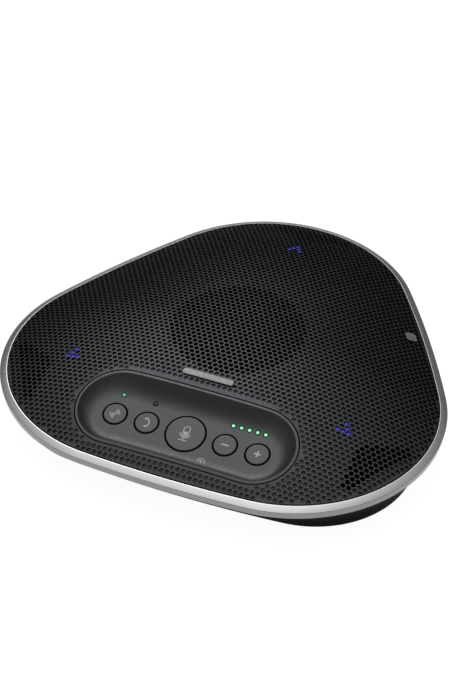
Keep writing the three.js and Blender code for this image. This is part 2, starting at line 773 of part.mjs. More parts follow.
// Move the origin from the three-fold axis to under the middle of the bounding box.
unit.position.y = (SIDE_DISTANCE - TIP_DISTANCE) / 2;

const speakerphone = new THREE.Group();
speakerphone.add(unit);

export default speakerphone;
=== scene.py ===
import math

import bmesh
import bpy
import numpy as np
from mathutils import Matrix, Vector
from mathutils.geometry import delaunay_2d_cdt


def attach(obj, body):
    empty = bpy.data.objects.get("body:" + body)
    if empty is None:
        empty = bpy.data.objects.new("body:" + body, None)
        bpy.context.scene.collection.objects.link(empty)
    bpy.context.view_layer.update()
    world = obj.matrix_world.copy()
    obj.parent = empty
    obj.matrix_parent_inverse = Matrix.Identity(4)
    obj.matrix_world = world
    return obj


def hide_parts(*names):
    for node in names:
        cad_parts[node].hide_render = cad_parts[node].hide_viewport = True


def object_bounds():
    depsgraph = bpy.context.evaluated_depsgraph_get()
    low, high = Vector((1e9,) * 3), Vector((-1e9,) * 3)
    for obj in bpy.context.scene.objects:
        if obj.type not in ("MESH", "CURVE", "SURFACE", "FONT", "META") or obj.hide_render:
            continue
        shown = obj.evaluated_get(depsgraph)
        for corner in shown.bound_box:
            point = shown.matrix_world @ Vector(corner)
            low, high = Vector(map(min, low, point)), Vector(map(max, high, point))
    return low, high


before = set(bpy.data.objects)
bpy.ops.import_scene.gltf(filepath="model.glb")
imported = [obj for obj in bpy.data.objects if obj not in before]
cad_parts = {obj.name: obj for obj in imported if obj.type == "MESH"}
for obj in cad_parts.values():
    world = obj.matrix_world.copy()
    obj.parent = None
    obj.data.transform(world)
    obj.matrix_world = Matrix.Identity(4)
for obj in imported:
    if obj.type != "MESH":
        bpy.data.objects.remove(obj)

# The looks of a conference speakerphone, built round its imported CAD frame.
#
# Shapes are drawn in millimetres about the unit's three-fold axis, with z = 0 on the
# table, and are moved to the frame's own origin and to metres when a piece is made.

CAD_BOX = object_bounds()

# ---- dimensions, as in the CAD

MM = 0.001
BODY_WIDTH = 231.0
BODY_HEIGHT = 44.0
CORNER_RADIUS = 77.8
SIDE_DISTANCE = 100.9
GAP = 0.3

RIM_HEIGHT = 22.8
RIM_FACE = 4.0
RIM_RISE = 1.7
RIM_SKIRT = 4.0
DOME_POWER = 2.25
GRILLE_WALL = 1.6

PANEL_HALF_LENGTH = 36.5
PANEL_RADIUS = 20.8
PANEL_Y = -68.0
PANEL_GROOVE = 0.5
PANEL_LIP = 1.4
PANEL_FLANK = 10.0
PANEL_WALL = 2.0
FLANK_POWER = 2.6
DISH_TILT = math.radians(16.2)
DISH_Y = -68.1
DISH_Z = RIM_HEIGHT + 5.1

INNER_BUTTON_X = 20.7
OUTER_BUTTON_X = 37.55
BIG_BUTTON_HOLE = 10.4
SMALL_BUTTON_HOLE = 6.4
BUTTON_GAP = 0.8
CAP_TOP = 0.3
STEM_RADIUS = 1.2
STEM_LOW = -6.2
LED_ROW = 11.55
LED_RADIUS = 0.95
LED_LOW = -9.8
LEVEL_LEDS = 5

CORNERS = {"rear": 90, "left": 210, "right": 330}
CORNER_DISTANCE = (BODY_WIDTH / 2 - CORNER_RADIUS) / math.cos(math.pi / 6)
RIM = {"corner": CORNER_DISTANCE, "corner_radius": CORNER_RADIUS, "side": SIDE_DISTANCE}
FOOTPRINT = {"corner": 60.5, "corner_radius": 52.5, "side": 85.0}
DOME_BASE = RIM_HEIGHT + RIM_RISE
DOME_RISE = BODY_HEIGHT - DOME_BASE
AXIS_Y = CAD_BOX[0].y / MM + SIDE_DISTANCE    # the three-fold axis in the frame's own y

# ---- places on the unit


def triangle_radius(angle, corner, corner_radius, side, inset=0.0):
    """Distance from the axis to a rounded triangle's edge, at an angle in radians."""
    third = 2 * math.pi / 3
    turned = np.asarray(angle, float) - math.pi / 2
    from_corner = np.abs(turned - third * np.round(turned / third))
    lean = corner / 2 - side
    side_radius = (corner_radius**2 - 0.75 * corner**2 - lean**2) / (2 * (lean + corner_radius))
    side_centre = (side - side_radius) * np.array([math.cos(third / 2), math.sin(third / 2)])
    corner_centre = np.array([corner, 0.0])
    towards = corner_centre - side_centre
    join = side_centre + towards / np.linalg.norm(towards) * (side_radius - inset)
    on_corner = from_corner < math.atan2(join[1], join[0])
    centre = np.where(on_corner[..., None], corner_centre, side_centre)
    radius = np.where(on_corner, corner_radius, side_radius) - inset
    along = centre[..., 0] * np.cos(from_corner) + centre[..., 1] * np.sin(from_corner)
    return along + np.sqrt(along**2 - (centre**2).sum(-1) + radius**2)


def rim_radius(angle, inset=0.0):
    """Distance from the axis to the unit's outline, less an inset."""
    return triangle_radius(angle, inset=inset, **RIM)


def rim_margin(x, y):
    """How far inside the rim's inner edge a point is."""
    return rim_radius(np.arctan2(y, x), RIM_FACE) - np.hypot(x, y)


def from_spine(x, y):
    """A point's offset from the nearest place on the panel's middle line."""
    return x - np.clip(x, -PANEL_HALF_LENGTH, PANEL_HALF_LENGTH), y - PANEL_Y


def panel_distance(x, y):
    """Distance from the panel's outline to a point, positive outside it."""
    return np.hypot(*from_spine(x, y)) - PANEL_RADIUS


def dome_height(x, y):
    """Height of the grille's top, which falls ever faster towards the rim."""
    share = np.hypot(x, y) / rim_radius(np.arctan2(y, x), RIM_FACE)
    return DOME_BASE + DOME_RISE * (1 - share**DOME_POWER)


def unit_normals(height_at, x, y, step):
    """Normals of a surface that is given by its heights."""
    slope_x = (height_at(x + step, y) - height_at(x - step, y)) / (2 * step)
    slope_y = (height_at(x, y + step) - height_at(x, y - step)) / (2 * step)
    normals = np.stack([-slope_x, -slope_y, np.ones(np.shape(x))], -1)
    return normals / np.linalg.norm(normals, axis=-1, keepdims=True)


def dome_frame(x, y, spin=0.0):
    """Matrix whose z axis stands on the dome at (x, y)."""
    normal = Vector(unit_normals(dome_height, x, y, 0.5))
    lay = Vector((0, 0, 1)).rotation_difference(normal).to_matrix().to_4x4()
    return Matrix.Translation((x, y, dome_height(x, y))) @ lay @ Matrix.Rotation(spin, 4, "Z")


def at_corner(distance, degrees):
    """The place at a distance from the origin, in a direction from its x axis."""
    angle = math.radians(degrees)
    return distance * math.cos(angle), distance * math.sin(angle)


# The dish frame: x along the button line, y up the slope, z straight out of the floor.
DISH = Matrix.Translation((0, DISH_Y, DISH_Z)) @ Matrix.Rotation(DISH_TILT, 4, "X")


def panel_height(x, y):
    """Height of the panel's top: a lip that follows the dome, then the sunk dish."""
    x, y = np.asarray(x, float), np.asarray(y, float)
    out_x, out_y = from_spine(x, y)
    distance = np.maximum(np.hypot(out_x, out_y), 1e-6)
    inset = PANEL_RADIUS - distance
    to_lip = (PANEL_RADIUS - PANEL_LIP) / distance - 1
    lip_height = dome_height(x + out_x * to_lip, y + out_y * to_lip)
    floor = DISH_Z + math.tan(DISH_TILT) * (y - DISH_Y)
    step = np.clip((inset - PANEL_LIP) / PANEL_FLANK, 0, 1)
    sunk = 1 - (1 - step) ** FLANK_POWER
    return np.where(inset < PANEL_LIP, dome_height(x, y), lip_height * (1 - sunk) + floor * sunk)


# ---- mesh helpers
# A shape is (points, faces, material numbers), with one material number for each face.


def merged(*shapes):
    """Several shapes as one."""
    points, faces, materials = [], [], []
    start = 0
    for own_points, own_faces, own_materials in shapes:
        points.append(own_points)
        faces += [tuple(i + start for i in face) for face in own_faces]
        materials += own_materials
        start += len(own_points)
    return np.concatenate(points), faces, materials


def placed(shape, matrix):
    points, faces, materials = shape
    rotation = np.array(matrix.to_3x3())
    return points @ rotation.T + np.array(matrix.translation), faces, materials


def shifted(shape, x, y, z=0.0):
    return placed(shape, Matrix.Translation((x, y, z)))


def in_dish(shape, x, y=0.0, z=0.0):
    """Moves a shape to a place that is given in the dish frame."""
    return placed(shifted(shape, x, y, z), DISH)


def loft(rings, hoop=False, band_materials=None):
    """Skins equal rings. The ends are closed, or the last ring joins the first in a hoop."""
    rings = np.asarray(rings, float)
    count = rings.shape[1]
    faces, materials = [], []
    bands = len(rings) if hoop else len(rings) - 1
    for band in range(bands):
        low = band * count
        high = (band + 1) % len(rings) * count
        for i in range(count):
            j = (i + 1) % count
            faces.append((low + i, low + j, high + j, high + i))
        materials += [band_materials[band] if band_materials else 0] * count
    if not hoop:
        faces.append(tuple(reversed(range(count))))
        faces.append(tuple(range(len(rings) * count - count, len(rings) * count)))
        materials += [materials[0], materials[-1]]
    return rings.reshape(-1, 3), faces, materials


def full_circle(count):
    """Even angles once round."""
    return np.linspace(0, 2 * math.pi, count, endpoint=False)


def ring(radii, height):
    """Points at one height round the axis, at even angles and the radii given."""
    angles = full_circle(len(radii))
    level = np.full(len(radii), height)
    return np.column_stack([radii * np.cos(angles), radii * np.sin(angles), level])


def turned(profile, segments=64, band_materials=None, hoop=False):
    """A solid of revolution about Z from [radius, height] pairs, from the bottom to the top."""
    rings = [ring(np.full(segments, radius), height) for radius, height in profile]
    return loft(rings, hoop, band_materials)


def fillet(start, corner, end, steps=4):
    """Points of a curve from start to end that rounds off a corner."""
    start, corner, end = (np.array(p, float) for p in (start, corner, end))
    shares = np.linspace(0, 1, steps + 1)
    return [tuple((1 - s) ** 2 * start + 2 * s * (1 - s) * corner + s * s * end) for s in shares]


def extruded(outline, low, high):
    """A prism on a flat outline that runs anticlockwise."""
    rings = [[(x, y, z) for x, y in outline] for z in (low, high)]
    return loft(rings)


def rounded_rectangle(length, height, radius, steps=6):
    points = []
    for quarter, (sx, sy) in enumerate([(1, 1), (-1, 1), (-1, -1), (1, -1)]):
        for i in range(steps + 1):
            angle = math.pi / 2 * (quarter + i / steps)
            x = sx * (length / 2 - radius) + radius * math.cos(angle)
            y = sy * (height / 2 - radius) + radius * math.sin(angle)
            points.append((x, y))
    return points


SHARP = 35    # faces that meet at more than this many degrees keep a hard edge


def to_mesh(name, shape):
    """A mesh in metres in the frame's own place. A shape that is a mesh already stays as it is."""
    if isinstance(shape, bpy.types.Mesh):
        return shape
    points, faces, materials = shape
    moved = (points + np.array([0, AXIS_Y, 0])) * MM
    mesh = bpy.data.meshes.new(name)
    mesh.from_pydata(moved.tolist(), [], faces)
    mesh.polygons.foreach_set("material_index", np.array(materials, np.int32))
    return mesh


def tidy_normals(mesh, sharp_degrees):
    """Turns every face outward, and shades smoothly between the hard edges."""
    bm = bmesh.new()
    bm.from_mesh(mesh)
    bmesh.ops.recalc_face_normals(bm, faces=bm.faces)
    bm.to_mesh(mesh)
    bm.free()
    mesh.shade_smooth()
    mesh.set_sharp_from_angle(angle=math.radians(sharp_degrees))


def make_piece(name, shape, surfaces, replaces=(), body="housing", sharp=SHARP):
    """Makes an object from a shape or a mesh, ties it to its body, and hides the CAD nodes that it
    replaces.
    """
    mesh = to_mesh(name, shape)
    mesh.name = name
    for surface in surfaces:
        mesh.materials.append(surface)
    tidy_normals(mesh, sharp)
    piece = bpy.data.objects.new(name, mesh)
    bpy.context.scene.collection.objects.link(piece)
    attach(piece, body)
    if replaces:
        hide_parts(*replaces)
    return piece


def cut_away(name, shape, *cutters):
    """A shape less the space of some other shapes, as a mesh."""
    objects = []
    for i, solid in enumerate((shape, *cutters)):
        mesh = to_mesh(f"{name}_{i}", solid)
        tidy_normals(mesh, SHARP)
        objects.append(bpy.data.objects.new(mesh.name, mesh))
        bpy.context.scene.collection.objects.link(objects[-1])
    base, *others = objects
    for other in others:
        cut = base.modifiers.new("cut", "BOOLEAN")
        cut.operation = "DIFFERENCE"
        cut.solver = "EXACT"
        cut.object = other
    bpy.context.view_layer.update()
    evaluated = base.evaluated_get(bpy.context.evaluated_depsgraph_get())
    result = bpy.data.meshes.new_from_object(evaluated)
    for item in objects:
        bpy.data.objects.remove(item)
    return result


# ---- materials

NOISE_LOW, NOISE_HIGH = 0.3, 0.7    # most values of a noise lie between these
GLOSS_PATCH = 6          # gloss varies in patches this many times as wide as the grain
BRUSH_LINE = 0.3         # width of a brushed line, in mm
BRUSH_RADIUS = 110.0     # the rim's usual distance from the axis, in mm
BRUSH_STRETCH = 0.12     # how fast the brushing changes with height, against round the rim


class Finish:
    """A Principled material whose colour, roughness and relief come from noise."""

    def __init__(self, name, **settings):
        self.material = bpy.data.materials.new(name)
        self.material.use_nodes = True
        self.nodes = self.material.node_tree.nodes
        self.shader = self.nodes["Principled BSDF"]
        for socket, value in settings.items():
            self.shader.inputs[socket.replace("_", " ")].default_value = value
        self.place = self.nodes.new("ShaderNodeTexCoord").outputs["Object"]

    def link(self, output, socket):
        self.material.node_tree.links.new(output, socket)

    def node(self, kind, **values):
        """A new node, with the values of its sockets."""
        node = self.nodes.new(f"ShaderNode{kind}")
        for socket, value in values.items():
            node.inputs[socket.replace("_", " ")].default_value = value
        return node

    def math(self, operation, first, second):
        node = self.node("Math")
        node.operation = operation
        for value, socket in zip((first, second), node.inputs):
            if isinstance(value, (int, float)):
                socket.default_value = value
            else:
                self.link(value, socket)
        return node.outputs[0]

    def noise(self, size_mm, detail=2.0, vector=None):
        node = self.node("TexNoise", Scale=1 / (size_mm * MM), Detail=detail)
        self.link(vector or self.place, node.inputs["Vector"])
        return node.outputs["Fac"]

    def colours(self, fac, dark, light, spread=0.2):
        node = self.node("ValToRGB")
        low, high = node.color_ramp.elements
        low.position, high.position = 0.5 - spread, 0.5 + spread
        low.color, high.color = (*dark, 1), (*light, 1)
        self.link(fac, node.inputs["Fac"])
        self.link(node.outputs["Color"], self.shader.inputs["Base Color"])

    def roughness(self, fac, low, high):
        node = self.node("MapRange", From_Min=NOISE_LOW, From_Max=NOISE_HIGH, To_Min=low, To_Max=high)
        self.link(fac, node.inputs["Value"])
        self.link(node.outputs["Result"], self.shader.inputs["Roughness"])

    def relief(self, fac, depth_mm):
        node = self.node("Bump", Distance=depth_mm * MM)
        self.link(fac, node.inputs["Height"])
        self.link(node.outputs["Normal"], self.shader.inputs["Normal"])


def grey(value, tint=1.05):
    """A grey whose blue is the tint times its red."""
    return (value, value * (0.6 + 0.4 * tint), value * tint)


def moulded(name, dark, light, grain_mm, rough, depth_mm=0.02, spread=0.2, **settings):
    """Moulded or painted plastic: a fine grain in colour, gloss and relief."""
    finish = Finish(name, **settings)
    fine = finish.noise(grain_mm)
    finish.colours(fine, dark, light, spread)
    finish.roughness(finish.noise(GLOSS_PATCH * grain_mm), *rough)
    finish.relief(fine, depth_mm)
    return finish.material


def brushed(name, dark, light, rough, **settings):
    """Metal brushed across the rim: fine lines that point at the unit's axis."""
    finish = Finish(name, Metallic=1.0, **settings)
    axes = finish.node("SeparateXYZ")
    finish.link(finish.place, axes.inputs[0])
    from_axis = finish.math("SUBTRACT", axes.outputs["Y"], AXIS_Y * MM)
    angle = finish.math("ARCTAN2", from_axis, axes.outputs["X"])
    round_rim = finish.math("MULTIPLY", angle, BRUSH_RADIUS * MM)
    across = finish.math("MULTIPLY", axes.outputs["Z"], BRUSH_STRETCH)
    vector = finish.node("CombineXYZ")
    finish.link(round_rim, vector.inputs["X"])
    finish.link(across, vector.inputs["Y"])
    lines = finish.noise(BRUSH_LINE, 3.0, vector.outputs[0])
    finish.colours(lines, dark, light, spread=0.25)
    finish.roughness(lines, *rough)
    finish.relief(lines, depth_mm=0.0007)
    return finish.material


def glowing(name, dark, light, glow, strength, **settings):
    """A lit lens: the colour varies a little through the moulding."""
    finish = Finish(name, Roughness=0.25, Emission_Strength=strength, **settings)
    finish.shader.inputs["Emission Color"].default_value = (*glow, 1)
    finish.colours(finish.noise(0.4), dark, light)
    return finish.material


def woven(name, dark, light, thread_mm):
    """Cloth with two sets of threads."""
    finish = Finish(name)
    heights = []
    for axis in ("X", "Y"):
        wave = finish.node("TexWave", Scale=0.3 / (thread_mm * MM), Distortion=0.3)
        wave.bands_direction = axis
        finish.link(finish.place, wave.inputs["Vector"])
        heights.append(wave.outputs["Fac"])
    weave = finish.math("MULTIPLY", *heights)
    finish.colours(weave, dark, light, spread=0.45)
    finish.roughness(finish.noise(2.0), 0.85, 0.95)
    finish.relief(weave, depth_mm=0.1)
    return finish.material


DULL = {"Metallic": 1.0, "Specular_Tint": (0.42, 0.42, 0.42, 1)}
GRILLE_BLACK = moulded(
    "grille_black", grey(0.076, 1.10), grey(0.102, 1.10), 0.25, (0.38, 0.46), **DULL
)
# Painted shade: a darker copy of the grille's finish, for the walls and floors of its holes.
GRILLE_PIT_SHADE = moulded(
    "grille_pit_shade", grey(0.044, 1.10), grey(0.060, 1.10), 0.25, (0.40, 0.50), **DULL
)
PANEL_GREY = moulded(
    "panel_grey", grey(0.027, 1.15), grey(0.035, 1.15), 0.3, (0.34, 0.42),
    Specular_IOR_Level=1.0, IOR=1.55, Specular_Tint=(0.96, 0.975, 1.0, 1),
)
BUTTON_GREY = moulded(
    "button_grey", grey(0.130, 1.09), grey(0.182, 1.09), 0.3, (0.38, 0.48), spread=0.25,
    Specular_IOR_Level=0.7,
)
# The case's own black, also painted on the walls of the panel's holes and the sides of the button
# caps as shade in the gaps.
CASE_BLACK_AND_GAP_SHADE = moulded(
    "case_black_and_gap_shade", grey(0.005), grey(0.008), 0.5, (0.35, 0.45), Specular_IOR_Level=0.005
)
RIM_SILVER = brushed(
    "rim_silver", grey(0.78, 1.02), grey(0.81, 1.02), (0.26, 0.30),
    Specular_Tint=(0.2, 0.2, 0.2, 1),
)
# Painted shade: darker copies of the rim's metal, for its lower face and for its polished inner lip.
RIM_LOWER_SHADE = brushed("rim_lower_shade", grey(0.22, 1.02), grey(0.27, 1.02), (0.3, 0.36))
RIM_POLISH_AND_SHADE = brushed("rim_polish_and_shade", grey(0.30, 1.02), grey(0.34, 1.02), (0.2, 0.26))
PLATE_GREY = moulded("plate_grey", grey(0.27), grey(0.35), 0.3, (0.38, 0.46), Metallic=0.6)
PRINT_GREY = moulded("print_grey", grey(0.80), grey(0.92), 0.2, (0.5, 0.6))
LINE_GREY = moulded("line_grey", grey(0.22), grey(0.28), 0.2, (0.5, 0.6))
RUBBER = moulded("rubber_black", grey(0.010), grey(0.018), 0.4, (0.75, 0.9), 0.04)
CONE_PAPER = moulded("cone_paper", grey(0.015), grey(0.030), 0.8, (0.8, 0.9), 0.08)
CLOTH = woven("cloth_black", grey(0.004), grey(0.012), 0.35)
STEEL = moulded("steel", grey(0.45), grey(0.60), 0.6, (0.25, 0.4), Metallic=1.0)
COPPER = moulded("copper", (0.6, 0.25, 0.12), (0.8, 0.4, 0.22), 0.5, (0.3, 0.4), Metallic=1.0)
BOARD = moulded("board_green", (0.01, 0.07, 0.03), (0.02, 0.13, 0.05), 1.5, (0.3, 0.5), 0.03)
DARK_LENS = moulded("dark_lens", grey(0.010), grey(0.022), 0.4, (0.1, 0.2))
GREEN_CORE = glowing("green_core", (0.3, 0.6, 0.4), (0.4, 0.8, 0.5), (0.33, 0.9, 0.50), 0.75)
GREEN_DIM = glowing("green_dim", (0.1, 0.2, 0.15), (0.15, 0.3, 0.2), (0.15, 0.40, 0.25), 0.8)
GREEN_RING = glowing(
    "green_ring", (0.0, 0.02, 0.01), (0.0, 0.03, 0.01), (0.0, 0.05, 0.015), 0.6,
    Specular_IOR_Level=0.2,
)
BLUE_GLOW = glowing(
    "blue_glow", (0.01, 0.01, 0.10), (0.02, 0.02, 0.16), (0.048, 0.042, 0.54), 0.8,
    Specular_IOR_Level=0.2,
)
BLUE_RING = glowing(
    "blue_ring", (0.01, 0.01, 0.08), (0.01, 0.01, 0.12), (0.02, 0.02, 0.26), 0.8,
    Specular_IOR_Level=0.2,
)

# ---- grille

HOLE_PITCH = 2.94
HOLE_SIDES = 12
ROW_STEP = HOLE_PITCH * math.sqrt(3) / 2
CELL_CORNER = HOLE_PITCH / math.sqrt(3)    # from a hexagonal cell's middle to its corners
ROWS, COLUMNS = 60, 80      # rows and half columns on each side of the axis, more than fit
DIMPLE_RADIUS = 1.2
DIMPLE_DEPTH = 0.8
SHALLOW_DEPTH = 0.5         # of the dimples beside the panel
DEEPEN_FROM = 2.0           # distance from the panel where the dimples start to deepen,
DEEPEN_OVER = 5.0           # and over which they do
OPEN_RADIUS = 1.3
SPEAKER_OPEN = 34.0         # open holes within this distance of the axis
CENTRE_RADIUS = 42.0        # where the grille's two pieces meet
EDGE_CUT = 0.45             # how much of a dimple may be lost at an edge
CELL_CLEAR = 0.25
PANEL_BAND = 0.35           # smooth band left round the panel's opening
PANEL_OPENING = PANEL_RADIUS + PANEL_GROOVE
MIC_ZONE = 94.2             # where each corner's open wedge starts, measured from the axis
MIC_ZONE_SLANT = 0.54       # how much further out it starts for each millimetre to the side
MIC_ZONE_END = 111.5
MIC_ZONE_HALF_WIDTH = 21
STATUS_ROW = 34             # rows from the axis to a status light's point
ARROW_TURNS = (150, -150)   # the directions of an arrowhead's arms, from its own
ARROW_HOLES = 3             # along each arm, with the point
PIPE_RADIUS = 1.05
PIPE_LOW = -2.6

BLIND, OPEN, LIT = range(3)
PIT_SHADE = 1    # the material number inside the holes, whose walls and floors are painted darker as shade


def cell_middle(cell):
    column, row = cell
    return column * HOLE_PITCH / 2, row * ROW_STEP


def status_cells(degrees):
    """The five lit holes by one corner: an arrowhead that points at the corner."""
    x, y = at_corner(STATUS_ROW * ROW_STEP, degrees)
    cells = []
    for turn in ARROW_TURNS:
        for step in range(ARROW_HOLES):
            side = at_corner(step * HOLE_PITCH, degrees + turn)
            row = round((y + side[1]) / ROW_STEP)
            cells.append((round((x + side[0]) / (HOLE_PITCH / 2)), row))
    return sorted(set(cells))


def mic_zone(x, y):
    """True over the open holes by each corner: a low wedge along the rim."""
    found = np.zeros(np.shape(x), bool)
    for degrees in CORNERS.values():
        ux, uy = at_corner(1.0, degrees)
        along = x * ux + y * uy
        aside = np.abs(y * ux - x * uy)
        outward = (along > MIC_ZONE + MIC_ZONE_SLANT * aside) & (along < MIC_ZONE_END)
        found |= outward & (aside < MIC_ZONE_HALF_WIDTH)
    return found


def grille_cells():
    """Every cell that has room for a hole, with its kind."""
    lit = {cell for degrees in CORNERS.values() for cell in status_cells(degrees)}
    cells = {}
    for row in range(-ROWS, ROWS + 1):
        for column in range(-COLUMNS + row % 2, COLUMNS + 1, 2):
            x, y = cell_middle((column, row))
            band_edge = panel_distance(x, y) - PANEL_GROOVE - PANEL_BAND
            if min(rim_margin(x, y), band_edge) < DIMPLE_RADIUS - EDGE_CUT:
                continue
            opened = math.hypot(x, y) < SPEAKER_OPEN or mic_zone(x, y)
            cells[column, row] = LIT if (column, row) in lit else OPEN if opened else BLIND
    return cells


def dimple_depth(x, y):
    """Depth of a blind dimple, which is less beside the panel."""
    away = min(1.0, max(0.0, (panel_distance(x, y) - DEEPEN_FROM) / DEEPEN_OVER))
    return SHALLOW_DEPTH + (DIMPLE_DEPTH - SHALLOW_DEPTH) * away


def kept_inside(x, y):
    """The place itself, or one moved off an edge so that the grille keeps a narrow margin."""
    short = max(0.0, GAP + CELL_CLEAR - rim_margin(x, y))
    share = 1 - short / math.hypot(x, y)
    x, y = x * share, y * share
    out_x, out_y = from_spine(x, y)
    distance = math.hypot(out_x, out_y)
    push = max(0.0, PANEL_OPENING + PANEL_BAND - distance) / distance
    return x + out_x * push, y + out_y * push


def corner_keys(cell):
    """A cell's six corners, in whole steps of half a pitch and half a corner distance."""
    column, row = cell
    steps = ((1, 1), (0, 2), (-1, 1), (-1, -1), (0, -2), (1, -1))
    return [(column + dx, 3 * row + dy) for dx, dy in steps]


def key_place(key):
    return key[0] * HOLE_PITCH / 2, key[1] * CELL_CORNER / 2


def is_whole(cell):
    """True if the whole hexagon lies on the grille, clear of its edges."""
    places = [key_place(key) for key in corner_keys(cell)]
    return all(
        rim_margin(x, y) > GAP + CELL_CLEAR
        and panel_distance(x, y) > PANEL_GROOVE + PANEL_BAND
        for x, y in places
    )


def sides(loop):
    """The pairs of neighbours round a closed loop."""
    return list(zip(loop, loop[1:] + loop[:1]))


class DomeSheet:
    """A wall of even thickness along the dome, made from named points of its plan."""

    def __init__(self):
        self.index = {}
        self.points = []
        self.faces = []
        self.materials = []

    def point(self, key, place, drop):
        name = (key, drop)
        if name not in self.index:
            self.index[name] = len(self.points)
            self.points.append((*place, drop))
        return self.index[name]

    def face(self, corners, drop=0.0, material=0):
        """A face from (key, place) pairs, which run anticlockwise as seen from its outside."""
        self.faces.append([self.point(key, place, drop) for key, place in corners])
        self.materials.append(material)

    def wall(self, first, second, low=GRILLE_WALL, material=0):
        """An upright face below the top edge between two (key, place) pairs."""
        top = [self.point(*pair, 0.0) for pair in (second, first)]
        bottom = [self.point(*pair, low) for pair in (first, second)]
        self.faces.append(top + bottom)
        self.materials.append(material)

    def hole(self, cell, kind):
        """The wall of one hole, and a dimple's floor. Returns the hole's outline."""
        x, y = cell_middle(cell)
        radius = DIMPLE_RADIUS if kind == BLIND else OPEN_RADIUS
        depth = dimple_depth(x, y) if kind == BLIND else GRILLE_WALL
        outline = []
        for i in range(HOLE_SIDES):
            dx, dy = at_corner(radius, 360 * i / HOLE_SIDES)
            outline.append(((cell, i), kept_inside(x + dx, y + dy)))
        for first, second in sides(outline):
            self.wall(first, second, depth, PIT_SHADE)
        if kind == BLIND:
            self.face(outline, depth, PIT_SHADE)
        return outline

    def whole_cell(self, cell, kind):
        """A hexagon of the web with its hole."""
        outline = self.hole(cell, kind)
        corners = [(key, key_place(key)) for key in corner_keys(cell)]
        triangles = []
        for i, (first, second) in enumerate(sides(corners)):
            near, middle, far = (outline[(2 * i + k) % HOLE_SIDES] for k in (1, 2, 3))
            triangles += [(first, second, middle), (first, middle, near), (second, far, middle)]
        for triangle in triangles:
            self.face(triangle)
        undersides = [corners] if kind == BLIND else triangles
        for below in undersides:
            self.face(below[::-1], GRILLE_WALL)

    def shape(self):
        points = np.array(self.points)
        x, y, drop = points.T
        heights = dome_height(x, y) - drop
        return np.column_stack([x, y, heights]), self.faces, self.materials


def open_edges(cells):
    """The hexagon sides that only one of these cells has, in the cell's own direction."""
    found = {side for cell in cells for side in sides(corner_keys(cell))}
    return sorted(side for side in found if side[::-1] not in found)


def rim_outline():
    """The grille's outer edge in plan."""
    return ring(rim_radius(full_circle(720), RIM_FACE + GAP), 0.0)[:, :2].tolist()


def stadium(radius):
    """A stadium outline about the panel's middle, anticlockwise."""
    points = []
    for end in (1, -1):
        for angle in np.linspace(-math.pi / 2, math.pi / 2, 41):
            x = end * (PANEL_HALF_LENGTH + radius * math.cos(angle))
            points.append((x, PANEL_Y + end * radius * math.sin(angle)))
        for share in np.linspace(1, -1, 25)[1:-1]:
            points.append((end * PANEL_HALF_LENGTH * share, PANEL_Y + end * radius))
    return points


def nearest_cell(x, y):
    """The cell whose hexagon holds a point."""
    cells = []
    for row in (math.floor(y / ROW_STEP), math.ceil(y / ROW_STEP)):
        odd = row % 2
        cells.append((2 * round((x / (HOLE_PITCH / 2) - odd) / 2) + odd, row))
    return min(cells, key=lambda cell: math.dist(cell_middle(cell), (x, y)))


def fill_band(sheet, whole, partial, edges):
    """Covers what lies between the whole cells, the rim and the panel's opening."""
    outlines = {"rim": rim_outline(), "opening": stadium(PANEL_OPENING)}
    borders = [
        [((name, i), place) for i, place in enumerate(outline)]
        for name, outline in outlines.items()
    ]
    holes = {cell: sheet.hole(cell, kind) for cell, kind in partial.items()}
    pairs, links = [], []
    for loop in (*borders, *holes.values()):
        links += sides(list(range(len(pairs), len(pairs) + len(loop))))
        pairs += loop
    known = {}
    for key in (key for edge in edges for key in edge):
        if key not in known:
            known[key] = len(pairs)
            pairs.append((key, key_place(key)))
    links += [(known[a], known[b]) for a, b in edges]

    places = [Vector(place) for _, place in pairs]
    corners, _, triangles, origins, *_ = delaunay_2d_cdt(places, links, [], 0, 1e-6)
    for triangle in triangles:
        x, y = np.mean([corners[i][:] for i in triangle], axis=0)
        touched = [pairs[origins[i][0]] for i in triangle]
        loops = {key[0] for key, _ in touched}
        in_hole = len(loops) == 1 and loops <= partial.keys()
        if in_hole or nearest_cell(x, y) in whole or panel_distance(x, y) < PANEL_GROOVE:
            continue
        sheet.face(touched)
        sheet.face(touched[::-1], GRILLE_WALL)
    for cell, outline in holes.items():
        if partial[cell] == BLIND:
            sheet.face(outline[::-1], GRILLE_WALL)
    for loop in borders:
        for first, second in sides(loop):
            sheet.wall(first, second)


def make_grille():
    """The perforated dome, in two pieces that meet along the sides of the cells."""
    cells = grille_cells()
    whole = {cell: kind for cell, kind in cells.items() if is_whole(cell)}
    partial = {cell: kind for cell, kind in cells.items() if cell not in whole}
    inner = {cell for cell in whole if math.dist(cell_middle(cell), (0, 0)) < CENTRE_RADIUS}

    centre, field = DomeSheet(), DomeSheet()
    for cell, kind in whole.items():
        (centre if cell in inner else field).whole_cell(cell, kind)
    for first, second in open_edges(inner):
        pair = [(first, key_place(first)), (second, key_place(second))]
        centre.wall(*pair)
        field.wall(*pair[::-1])
    fill_band(field, whole, partial, open_edges(whole))
    surfaces = [GRILLE_BLACK, GRILLE_PIT_SHADE]
    make_piece("grille_centre", centre.shape(), surfaces, ["top_grille"])
    make_piece("grille_field", field.shape(), surfaces, ["top_grille"])


def light_pipes(degrees):
    """Pipes that fill a status light's five holes, with a bright middle in a darker ring."""
    pipes = []
    for cell in status_cells(degrees):
        x, y = cell_middle(cell)
        crown = fillet((PIPE_RADIUS, -0.6), (1.0, -0.42), (0.72, -0.37))
        profile = [(PIPE_RADIUS, PIPE_LOW), *crown, (0.3, -0.34)]
        pipe = turned(profile, 20, [1] * len(crown) + [0])
        pipes.append(shifted(pipe, x, y, dome_height(x, y)))
    return merged(*pipes)


# ---- rim and lower case


